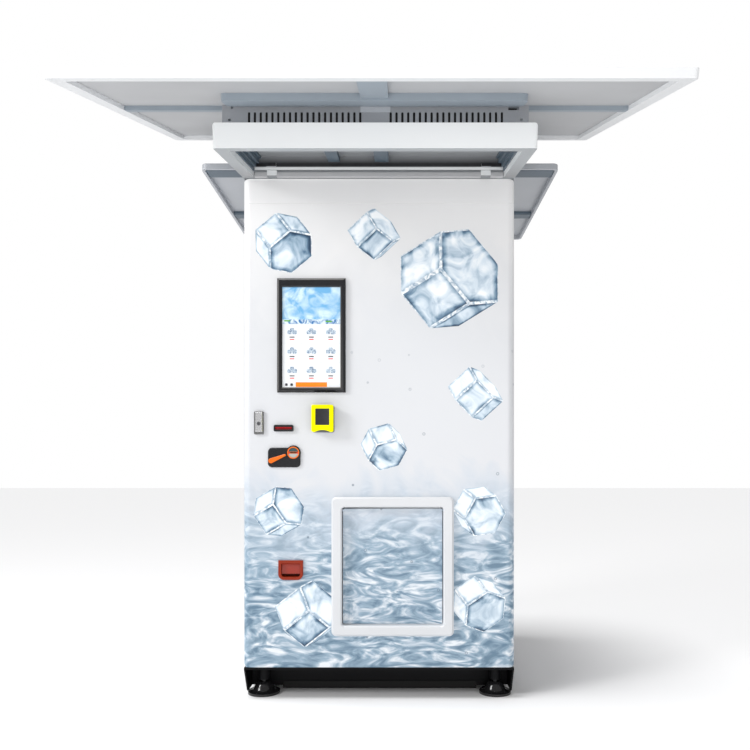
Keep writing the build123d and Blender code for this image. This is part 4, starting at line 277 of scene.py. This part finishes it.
def printed_film(name):
    material = bpy.data.materials.new(name)
    material.use_nodes = True
    tree = material.node_tree
    node, link = tree.nodes.new, tree.links.new
    shader = tree.nodes["Principled BSDF"]
    shader.inputs["Roughness"].default_value = 0.33
    place = node("ShaderNodeTexCoord")
    split = node("ShaderNodeSeparateXYZ")
    link(place.outputs["Object"], split.inputs["Vector"])
    height = node("ShaderNodeMapRange")
    height.inputs["From Min"].default_value = wrap_low
    height.inputs["From Max"].default_value = wrap_high
    link(split.outputs["Z"], height.inputs["Value"])
    # The shore between the clear field and the pool is ragged, as splashing water is
    splash = node("ShaderNodeTexNoise")
    splash.inputs["Scale"].default_value = 4.5
    splash.inputs["Detail"].default_value = 7
    splash.inputs["Distortion"].default_value = 1.1
    link(place.outputs["Object"], splash.inputs["Vector"])
    lift = node("ShaderNodeMath")
    lift.operation = "MULTIPLY_ADD"
    lift.inputs[1].default_value = 0.22
    link(splash.outputs["Fac"], lift.inputs[0])
    link(height.outputs["Result"], lift.inputs[2])
    field = node("ShaderNodeValToRGB")
    ramp = field.color_ramp
    ramp.elements[0].position = 0.12
    ramp.elements[0].color = (0.22, 0.32, 0.41, 1)
    # painted light: the field is lighter at the very top, against the shade under the visor
    ramp.elements[1].position = 1.0
    ramp.elements[1].color = (0.79, 0.785, 0.785, 1)
    for position, colour in (
        (0.25, (0.17, 0.27, 0.37)),
        (0.34, (0.27, 0.38, 0.48)),
        (0.42, (0.52, 0.59, 0.67)),
        (0.52, (0.68, 0.69, 0.715)),
        (0.80, (0.69, 0.70, 0.72)),
    ):
        ramp.elements.new(position).color = colour + (1,)
    link(lift.outputs["Value"], field.inputs["Fac"])
    # Bright and dark water lines, strong in the pool and gone above it
    water = node("ShaderNodeTexNoise")
    water.inputs["Scale"].default_value = 11
    water.inputs["Detail"].default_value = 8
    water.inputs["Distortion"].default_value = 2.6
    # the water lines lie more level than upright
    level = node("ShaderNodeMapping")
    level.inputs["Scale"].default_value = (0.55, 1.0, 1.5)
    link(place.outputs["Object"], level.inputs["Vector"])
    link(level.outputs["Vector"], water.inputs["Vector"])
    lines = node("ShaderNodeValToRGB")
    lines.color_ramp.elements[0].position = 0.36
    lines.color_ramp.elements[0].color = (0.085, 0.165, 0.245, 1)
    lines.color_ramp.elements[1].position = 0.66
    lines.color_ramp.elements[1].color = (0.97, 0.98, 1.0, 1)
    lines.color_ramp.elements.new(0.5).color = (0.32, 0.43, 0.53, 1)
    link(water.outputs["Fac"], lines.inputs["Fac"])
    depth = node("ShaderNodeMapRange")
    depth.inputs["From Min"].default_value = 0.48
    depth.inputs["From Max"].default_value = 0.30
    depth.inputs["To Max"].default_value = 0.74
    link(lift.outputs["Value"], depth.inputs["Value"])
    pool = node("ShaderNodeMix")
    pool.data_type = "RGBA"
    link(depth.outputs["Result"], pool.inputs["Factor"])
    link(field.outputs["Color"], pool.inputs[6])
    link(lines.outputs["Color"], pool.inputs[7])
    # Loose drops above the pool: a dark ring with a bright middle, in about one cell in four
    drops = node("ShaderNodeTexVoronoi")
    drops.inputs["Scale"].default_value = 17
    link(place.outputs["Object"], drops.inputs["Vector"])
    chance = node("ShaderNodeSeparateColor")
    link(drops.outputs["Color"], chance.inputs["Color"])
    kept = node("ShaderNodeMath")
    kept.operation = "LESS_THAN"
    kept.inputs[1].default_value = 0.26
    link(chance.outputs["Red"], kept.inputs[0])
    ring = node("ShaderNodeValToRGB")
    ring.color_ramp.elements[0].position = 0.05
    ring.color_ramp.elements[0].color = (0, 0, 0, 1)
    ring.color_ramp.elements[1].position = 0.125
    ring.color_ramp.elements[1].color = (0, 0, 0, 1)
    ring.color_ramp.elements.new(0.09).color = (1, 1, 1, 1)
    link(drops.outputs["Distance"], ring.inputs["Fac"])
    wet = node("ShaderNodeMapRange")
    wet.inputs["From Min"].default_value = 0.78
    wet.inputs["From Max"].default_value = 0.42
    wet.inputs["To Max"].default_value = 0.75
    link(height.outputs["Result"], wet.inputs["Value"])
    seen = node("ShaderNodeMath")
    seen.operation = "MULTIPLY"
    link(ring.outputs["Color"], seen.inputs[0])
    link(kept.outputs["Value"], seen.inputs[1])
    amount = node("ShaderNodeMath")
    amount.operation = "MULTIPLY"
    link(seen.outputs["Value"], amount.inputs[0])
    link(wet.outputs["Result"], amount.inputs[1])
    dotted = node("ShaderNodeMix")
    dotted.data_type = "RGBA"
    dotted.inputs[7].default_value = (0.10, 0.15, 0.21, 1)
    link(amount.outputs["Value"], dotted.inputs["Factor"])
    link(pool.outputs[2], dotted.inputs[6])
    link(dotted.outputs[2], shader.inputs["Base Color"])
    return material


film = printed_film("printed ice film")
finish(film, "door_skin", "header_panel", "pickup_flap")
finish(coated("gasket rubber", (0.02, 0.02, 0.02), 0.75, grain=500), "door_gasket")


# Ice crystals of the printed film. Each is a six-sided crystal drawn flat on the film: its faces
# are pale and clouded in the middle and dark towards their edges, with pale lines along the edges.
film_face = front_y - 0.0003


def ice_tone(name, dark, light, scale=16, by_face=False):
    material = coated(name, light, 0.3, bump=0.0)
    tree = material.node_tree
    place = next(n for n in tree.nodes if n.bl_idname == "ShaderNodeTexCoord")
    cloud = tree.nodes.new("ShaderNodeTexNoise")
    cloud.inputs["Scale"].default_value = scale
    cloud.inputs["Detail"].default_value = 5
    cloud.inputs["Distortion"].default_value = 1.2 if by_face else 2.2
    tone = tree.nodes.new("ShaderNodeValToRGB")
    tone.color_ramp.elements[0].position = 0.38
    tone.color_ramp.elements[0].color = dark + (1,)
    tone.color_ramp.elements[1].position = 0.62
    tone.color_ramp.elements[1].color = light + (1,)
    tree.links.new(place.outputs["Object"], cloud.inputs["Vector"])
    tree.links.new(cloud.outputs["Fac"], tone.inputs["Fac"])
    tree.links.new(tone.outputs["Color"], tree.nodes["Principled BSDF"].inputs["Base Color"])
    if by_face:
        # red of the mesh's own colours runs from edge to middle, green from the dark to the pale side
        drawn = tree.nodes.new("ShaderNodeAttribute")
        drawn.attribute_name = "drawn"
        parts = tree.nodes.new("ShaderNodeSeparateColor")
        clear = tree.nodes.new("ShaderNodeMath")
        clear.operation = "MULTIPLY_ADD"
        clear.inputs[1].default_value = 0.27
        side = tree.nodes.new("ShaderNodeMath")
        side.operation = "MULTIPLY_ADD"
        side.inputs[1].default_value = 0.18
        tree.links.new(drawn.outputs["Color"], parts.inputs["Color"])
        tree.links.new(parts.outputs["Red"], clear.inputs[0])
        tree.links.new(cloud.outputs["Fac"], clear.inputs[2])
        tree.links.new(parts.outputs["Green"], side.inputs[0])
        tree.links.new(clear.outputs["Value"], side.inputs[2])
        tree.links.new(side.outputs["Value"], tone.inputs["Fac"])
        tone.color_ramp.elements[0].position = 0.44
        tone.color_ramp.elements[1].position = 1.0
        for position, colour in (
            (0.56, (0.10, 0.19, 0.29)),
            (0.68, (0.34, 0.46, 0.57)),
            (0.82, (0.66, 0.75, 0.83)),
        ):
            tone.color_ramp.elements.new(position).color = colour + (1,)
    return material


crystal_face = ice_tone("ice crystal face", (0.02, 0.05, 0.10), (0.93, 0.96, 0.98), scale=11, by_face=True)
crystal_edge = ice_tone("ice crystal edge", (0.30, 0.41, 0.52), (0.95, 0.97, 0.98), scale=30)


def film_crystal(name, x, z, radius, turn, body="door"):
    bpy.ops.object.select_all(action="DESELECT")
    bpy.ops.mesh.primitive_cylinder_add(vertices=6, radius=radius, depth=radius * 1.25, location=(0, 0, 0))
    crystal = bpy.context.object
    crystal.name = name
    rounding = crystal.modifiers.new("edge", "BEVEL")
    rounding.width = radius * 0.05
    rounding.segments = 2
    bpy.ops.object.modifier_apply(modifier=rounding.name)
    crystal.rotation_euler = [math.radians(a) for a in turn]
    bpy.ops.object.transform_apply(location=False, rotation=True, scale=False)
    # only the faces towards the viewer are kept, and each big one gets an inner ring for its shading
    shape = bmesh.new()
    shape.from_mesh(crystal.data)
    bmesh.ops.delete(shape, geom=[f for f in shape.faces if f.normal.y > -0.02], context="FACES")
    largest = max(face.calc_area() for face in shape.faces)
    big = [face for face in shape.faces if face.calc_area() > largest * 0.2]
    paint = shape.loops.layers.float_color.new("drawn")
    pale = {face: max(0.0, min(1.0, 0.5 + 0.7 * face.normal.z - 0.5 * face.normal.x)) for face in big}
    for face in shape.faces:
        face.material_index = 0 if face in pale else 1
    for face in big:
        ring = bmesh.ops.inset_individual(shape, faces=[face], thickness=radius * 0.2)["faces"]
        for part in ring:
            for loop in part.loops:
                loop[paint] = (1.0 if loop.vert in face.verts else 0.0, pale[face], 0, 1)
        for loop in face.loops:
            loop[paint] = (1.0, pale[face], 0, 1)
    shape.to_mesh(crystal.data)
    shape.free()
    crystal.data.materials.append(crystal_face)
    crystal.data.materials.append(crystal_edge)
    crystal.scale = (1, 0.0004, 1)
    crystal.location = (x, film_face - radius * 0.0004, z)
    bpy.ops.object.transform_apply(location=True, rotation=False, scale=True)
    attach(crystal, body)
    return crystal


film_crystal("film_crystal_high_right", 0.285, 1.700, 0.190, (62, 24, 38))
film_crystal("film_crystal_high_middle", -0.020, 1.880, 0.095, (48, 14, 52))
film_crystal("film_crystal_high_left", -0.385, 1.845, 0.110, (124, -16, 20))
film_crystal("film_crystal_right", 0.390, 1.235, 0.100, (40, 30, 44))
film_crystal("film_crystal_middle", 0.020, 1.020, 0.085, (130, 8, 30))
film_crystal("film_crystal_left_low", -0.405, 0.760, 0.095, (64, -24, 60))
film_crystal("film_crystal_right_low", 0.405, 0.760, 0.095, (110, 22, 34))
film_crystal("film_crystal_pool_left", -0.285, 0.345, 0.120, (56, 12, 48))
film_crystal("film_crystal_pool_right", 0.405, 0.385, 0.100, (122, -10, 24))

# Payment column. A lock, a banknote mouth, a card reader, a coin unit and its return cup are
# let into the door, each a bought-in moulding in its own colour.
gloss_black = coated("payment gloss black", (0.012, 0.012, 0.014), 0.14, grain=300, bump=0.0)
finish(gloss_black, "bill_slot", "coin_bezel")
bezel_black_painted_light = coated("screen bezel black with painted light", (0.010, 0.010, 0.012), 0.2, grain=300, bump=0.0)
# painted light: the bezel's top faces and its left faces are lighter, where the light from above and from
# the left falls on them
painted_light_by_facing(bezel_black_painted_light, (0.13, 0.125, 0.12), (0.0, 0.0, 1.0))
painted_light_by_facing(bezel_black_painted_light, (0.075, 0.072, 0.07), (-1.0, 0.0, 0.0))
finish(bezel_black_painted_light, "screen_bezel")
finish(coated("lock dish grey", (0.20, 0.20, 0.20), 0.4, metallic=1.0), "lock_housing")
finish(coated("lock satin chrome", (0.7, 0.7, 0.71), 0.25, metallic=1.0), "lock_handle")
finish(coated("lock dark nickel", (0.16, 0.16, 0.17), 0.3, metallic=1.0), "lock_cylinder")
finish(coated("reader grey", (0.07, 0.072, 0.10), 0.5), "card_reader")
reader_yellow = coated("reader yellow", (1.0, 0.94, 0.0), 0.5)
reader_yellow.node_tree.nodes["Principled BSDF"].inputs["Specular IOR Level"].default_value = 0.06
finish(reader_yellow, "reader_face")
finish(coated("reader window", (0.02, 0.02, 0.024), 0.1, bump=0.0), "reader_window")
coin_orange = coated("coin orange", (0.80, 0.15, 0.004), 0.3, grain=500)
coin_orange.node_tree.nodes["Principled BSDF"].inputs["Specular IOR Level"].default_value = 0.3
finish(coin_orange, "coin_ring", "return_lever")
cup_orange = coated("cup orange", (0.27, 0.022, 0.003), 0.35, grain=500)
cup_orange.node_tree.nodes["Principled BSDF"].inputs["Specular IOR Level"].default_value = 0.25
finish(cup_orange, "coin_cup")
finish(coated("flap red", (0.32, 0.02, 0.005), 0.22), "cup_flap")
finish(coated("frame white", (0.66, 0.67, 0.69), 0.28, grain=500, shade=0.02), "pickup_frame")

# Banknote mouth's light. Two red light guides lie in the slot, one along its roof and one along
# its floor, and leave the note's way between them.
guide_red = coated("light guide red", (0.55, 0.004, 0.006), 0.25, bump=0.0)
guide_red.node_tree.nodes["Principled BSDF"].inputs["Emission Color"].default_value = (0.6, 0.004, 0.008, 1)
guide_red.node_tree.nodes["Principled BSDF"].inputs["Emission Strength"].default_value = 0.35
mouth_low, mouth_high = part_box("bill_slot")
mouth_x = (mouth_low[0] + mouth_high[0]) / 2
mouth_z = (mouth_low[2] + mouth_high[2]) / 2
guide_y = mouth_low[1] + 0.0065
for name, z in (("bill_light_upper", mouth_z + 0.0029), ("bill_light_lower", mouth_z - 0.0029)):
    soft_box(name, (0.066, 0.010, 0.0017), (mouth_x, guide_y, z), 0.0006, guide_red, "door")

# Coin disc's print. A dark teal field over the slot, a dark red band beside it and a pale field
# under it, each cut to the round disc. The red bands glow a little, painted light.
disc_low, disc_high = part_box("coin_ring")
disc_x = (disc_low[0] + disc_high[0]) / 2
disc_z = (disc_low[2] + disc_high[2]) / 2
disc_radius = 0.0200
disc_face = disc_low[1] + 0.003 - 0.0002
band_half = 0.0040


def disc_field(name, start, stop, colour):
    """A field of the disc between two heights, with the disc's own curve at its ends."""
    shape = bmesh.new()
    steps = 14
    heights = [start + (stop - start) * i / steps for i in range(steps + 1)]
    reach = [math.sqrt(max(0.0, disc_radius ** 2 - h * h)) for h in heights]
    right = [shape.verts.new((disc_x + r, disc_face, disc_z + h)) for h, r in zip(heights, reach)]
    left = [shape.verts.new((disc_x - r, disc_face, disc_z + h)) for h, r in zip(heights, reach)]
    for i in range(steps):
        shape.faces.new((left[i], right[i], right[i + 1], left[i + 1]))
    mesh = bpy.data.meshes.new(name)
    bmesh.ops.remove_doubles(shape, verts=shape.verts, dist=0.00001)
    shape.to_mesh(mesh)
    shape.free()
    field = bpy.data.objects.new(name, mesh)
    bpy.context.scene.collection.objects.link(field)
    mesh.materials.append(coated(name.replace("_", " "), colour, 0.25, bump=0.0))
    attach(field, "door")


disc_field("coin_disc_upper", band_half, disc_radius * 0.999, (0.03, 0.075, 0.08))
disc_field("coin_disc_lower", -disc_radius * 0.999, -band_half, (0.42, 0.44, 0.42))
# painted light: the red bands share the light guides' red glow, though they are print
for name, side in (("coin_band_left", -1), ("coin_band_right", 1)):
    bpy.ops.object.select_all(action="DESELECT")
    bpy.ops.mesh.primitive_plane_add(size=1, location=(0, 0, 0), rotation=(math.radians(90), 0, 0))
    band = bpy.context.object
    band.name = name
    band.scale = (0.0046, 0.0076, 1)
    bpy.ops.object.transform_apply(location=False, rotation=True, scale=True)
    band.location = (disc_x + side * 0.0170, disc_face - 0.0001, disc_z)
    bpy.ops.object.transform_apply(location=True, rotation=False, scale=False)
    band.data.materials.append(guide_red)
    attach(band, "door")

# Display picture. The lit page behind the glass: a pale icy banner, nine tiles that each hold a
# small ice heap, a dark mark and a red one, and a lower bar with an orange button. No lettering.
glass_low, glass_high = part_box("touch_screen")
page_left, page_right = glass_low[0], glass_high[0]
page_bottom, page_top = glass_low[2], glass_high[2]
page_wide = page_right - page_left
page_high = page_top - page_bottom
banner_share = 0.365
bar_share = 0.055
page_face = glass_low[1] - 0.0002
finish(coated("display glass", (0.86, 0.88, 0.9), 0.1, bump=0.0, shade=0.01), "touch_screen")


def lit(name, colour, glow=0.12):
    material = coated(name, colour, 0.12, bump=0.0, shade=0.03)
    shader = material.node_tree.nodes["Principled BSDF"]
    shader.inputs["Emission Color"].default_value = tuple(colour) + (1,)
    shader.inputs["Emission Strength"].default_value = glow
    return material


def page_patch(name, x, z, wide, high, material, layer=1, round_share=0.0):
    """A flat printed patch of the page, with its corners rounded where the real one's are."""
    bpy.ops.object.select_all(action="DESELECT")
    bpy.ops.mesh.primitive_plane_add(size=1, location=(0, 0, 0), rotation=(math.radians(90), 0, 0))
    patch = bpy.context.object
    patch.name = name
    patch.scale = (wide, high, 1)
    bpy.ops.object.transform_apply(location=False, rotation=True, scale=True)
    if round_share:
        bpy.ops.object.mode_set(mode="EDIT")
        bpy.ops.mesh.select_all(action="SELECT")
        bpy.ops.mesh.bevel(offset=min(wide, high) * round_share, segments=4, affect="VERTICES")
        bpy.ops.object.mode_set(mode="OBJECT")
    patch.location = (x, page_face - 0.0001 * layer, z)
    bpy.ops.object.transform_apply(location=True, rotation=False, scale=False)
    patch.data.materials.append(material)
    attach(patch, "door")
    return patch


banner_high = page_high * banner_share
banner_z = page_top - banner_high / 2
middle_x = (page_left + page_right) / 2
banner_ice = ice_tone("banner ice", (0.16, 0.44, 0.74), (0.66, 0.83, 0.92), scale=11)
page_patch("page_banner", middle_x, banner_z, page_wide, banner_high, banner_ice)
shore_z = page_top - banner_high + page_high * 0.02
shore_ice = ice_tone("banner shore", (0.03, 0.18, 0.45), (0.80, 0.90, 0.95), scale=34)
page_patch("page_banner_shore", middle_x, shore_z, page_wide, page_high * 0.045, shore_ice, 2)
leaf_green = lit("banner green", (0.12, 0.42, 0.04), 0.05)
for name, share, lift in (("banner_green_left", 0.085, 0.0038), ("banner_green_right", 0.80, 0.0012)):
    x = page_left + page_wide * share
    page_patch(name, x, shore_z + lift, page_wide * 0.11, page_high * 0.014, leaf_green, 3, 0.45)

tile_line = lit("page tile line", (0.66, 0.68, 0.70))
line_wide = 0.0009
heap_blue = ice_tone("tile ice heap", (0.05, 0.12, 0.24), (0.72, 0.82, 0.90), scale=150)
mark_dark = lit("tile dark mark", (0.05, 0.05, 0.06), 0.0)
mark_red = lit("tile red mark", (0.75, 0.03, 0.02))
tile_wide = page_wide / 3
tiles_top = page_top - banner_high
tile_high = (page_high * (1 - banner_share - bar_share)) / 3
for row in range(3):
    for column in range(3):
        x = page_left + tile_wide * (column + 0.5)
        z = tiles_top - tile_high * (row + 0.5)
        place = f"{row + 1}_{column + 1}"
        for step, (dx, dz, share) in enumerate(((-0.13, 0.06, 0.22), (0.13, 0.06, 0.24), (0.0, 0.19, 0.2))):
            name = f"tile_heap_{place}_{step + 1}"
            side = tile_wide * share
            heap_x = x + dx * tile_wide
            heap_z = z + dz * tile_high
            page_patch(name, heap_x, heap_z, side, side * 0.9, heap_blue, 2 + step, 0.3)
        for name, drop, wide, high, tone in (
            ("tile_dark_mark", 0.19, 0.26, 0.05, mark_dark),
            ("tile_red_mark", 0.31, 0.24, 0.045, mark_red),
        ):
            mark_z = z - tile_high * drop
            page_patch(f"{name}_{place}", x, mark_z, tile_wide * wide, tile_high * high, tone, 2, 0.4)
for step in (1, 2):
    x = page_left + tile_wide * step
    z = tiles_top - tile_high * 1.5
    page_patch(f"tile_line_upright_{step}", x, z, line_wide, tile_high * 3, tile_line, 1)
    z = tiles_top - tile_high * step
    page_patch(f"tile_line_level_{step}", middle_x, z, page_wide, line_wide, tile_line, 1)
bar_z = page_bottom + page_high * bar_share / 2
button_orange = lit("order button orange", (0.92, 0.22, 0.01), 0.2)
button_high = page_high * bar_share * 0.86
page_patch("page_order_button", middle_x, bar_z, page_wide * 0.54, button_high, button_orange, 2, 0.08)
icon_side = page_wide * 0.045
for step, share in enumerate((0.07, 0.16)):
    x = page_left + page_wide * share
    page_patch(f"page_small_icon_{step + 1}", x, bar_z, icon_side, icon_side, mark_dark, 2, 0.35)

# Roof, visor and wings. White coated edge frames with grey ribs and sheets under them, over a
# grey cooling-air housing with a slotted grille.
finish(coated("roof white", (0.80, 0.81, 0.82), 0.36, shade=0.015), "roof_frame")
visor_white_painted_shade = coated("visor white with painted shade", (0.78, 0.795, 0.80), 0.36, shade=0.015)
# painted shade: all of the pan's downward faces take a grey, the shade under it
painted_light_by_facing(visor_white_painted_shade, (0.36, 0.38, 0.395), (0.0, 0.0, -1.0))
# painted shade: the hollow under the pan darkens to the rear, and its rear wall takes a grey that darkens
# downwards
painted_light_by_facing(visor_white_painted_shade, (0.26, 0.27, 0.28), (0.0, 0.0, -1.0), limits=(("Y", -0.42, -0.17),))
rear_wall = (("Y", -0.24, -0.20), ("Z", 2.138, 2.142))
wall_painted_shade = ("Z", 2.190, 2.152)
painted_light_by_facing(visor_white_painted_shade, (0.34, 0.35, 0.365), (0.0, -1.0, 0.0), limits=rear_wall)
painted_light_by_facing(visor_white_painted_shade, (0.006, 0.006, 0.008), (0.0, -1.0, 0.0), limits=rear_wall + (wall_painted_shade,))
finish(visor_white_painted_shade, "visor_pan")
finish(coated("roof sheet", (0.44, 0.445, 0.455), 0.5, shade=0.05), "roof_panel")
finish(coated("rib blue grey", (0.28, 0.325, 0.37), 0.42), "roof_ribs")
finish(coated("rail slate", (0.07, 0.10, 0.13), 0.42), "visor_rails", "wing_ribs_left", "wing_ribs_right")
finish(coated("bracket grey", (0.46, 0.48, 0.51), 0.45), "roof_brackets")
finish(coated("bar grey", (0.46, 0.46, 0.47), 0.45), "visor_bar")
finish(coated("wing grey", (0.38, 0.395, 0.42), 0.4), "wing_panel_left", "wing_panel_right")
finish(coated("grille grey", (0.30, 0.31, 0.33), 0.5), "grille_panel")

# Slot shade. A thin black sheet lies behind the grille's slots: painted shade, so that the slots read
# as dark as the shade in them and the fan box behind them isn't seen.
grille_low, grille_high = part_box("grille_panel")
grille_x = (grille_low[0] + grille_high[0]) / 2
grille_z = (grille_low[2] + grille_high[2]) / 2
mat_size = (grille_high[0] - grille_low[0] - 0.08, 0.003, grille_high[2] - grille_low[2] - 0.016)
mat_place = (grille_x, grille_high[1] + 0.004, grille_z)
slot_shade_black = coated("slot shade black", (0.004, 0.004, 0.004), 0.9, grain=240, bump=0.08)
soft_box("slot_shade_sheet", mat_size, mat_place, 0.001, slot_shade_black, "cabinet")

housing_grey = coated("housing grey", (0.36, 0.38, 0.40), 0.48)
finish(housing_grey, "plenum_duct", "housing_side_left", "housing_side_right", "housing_rear")
finish(housing_grey, "housing_cover", "control_box")
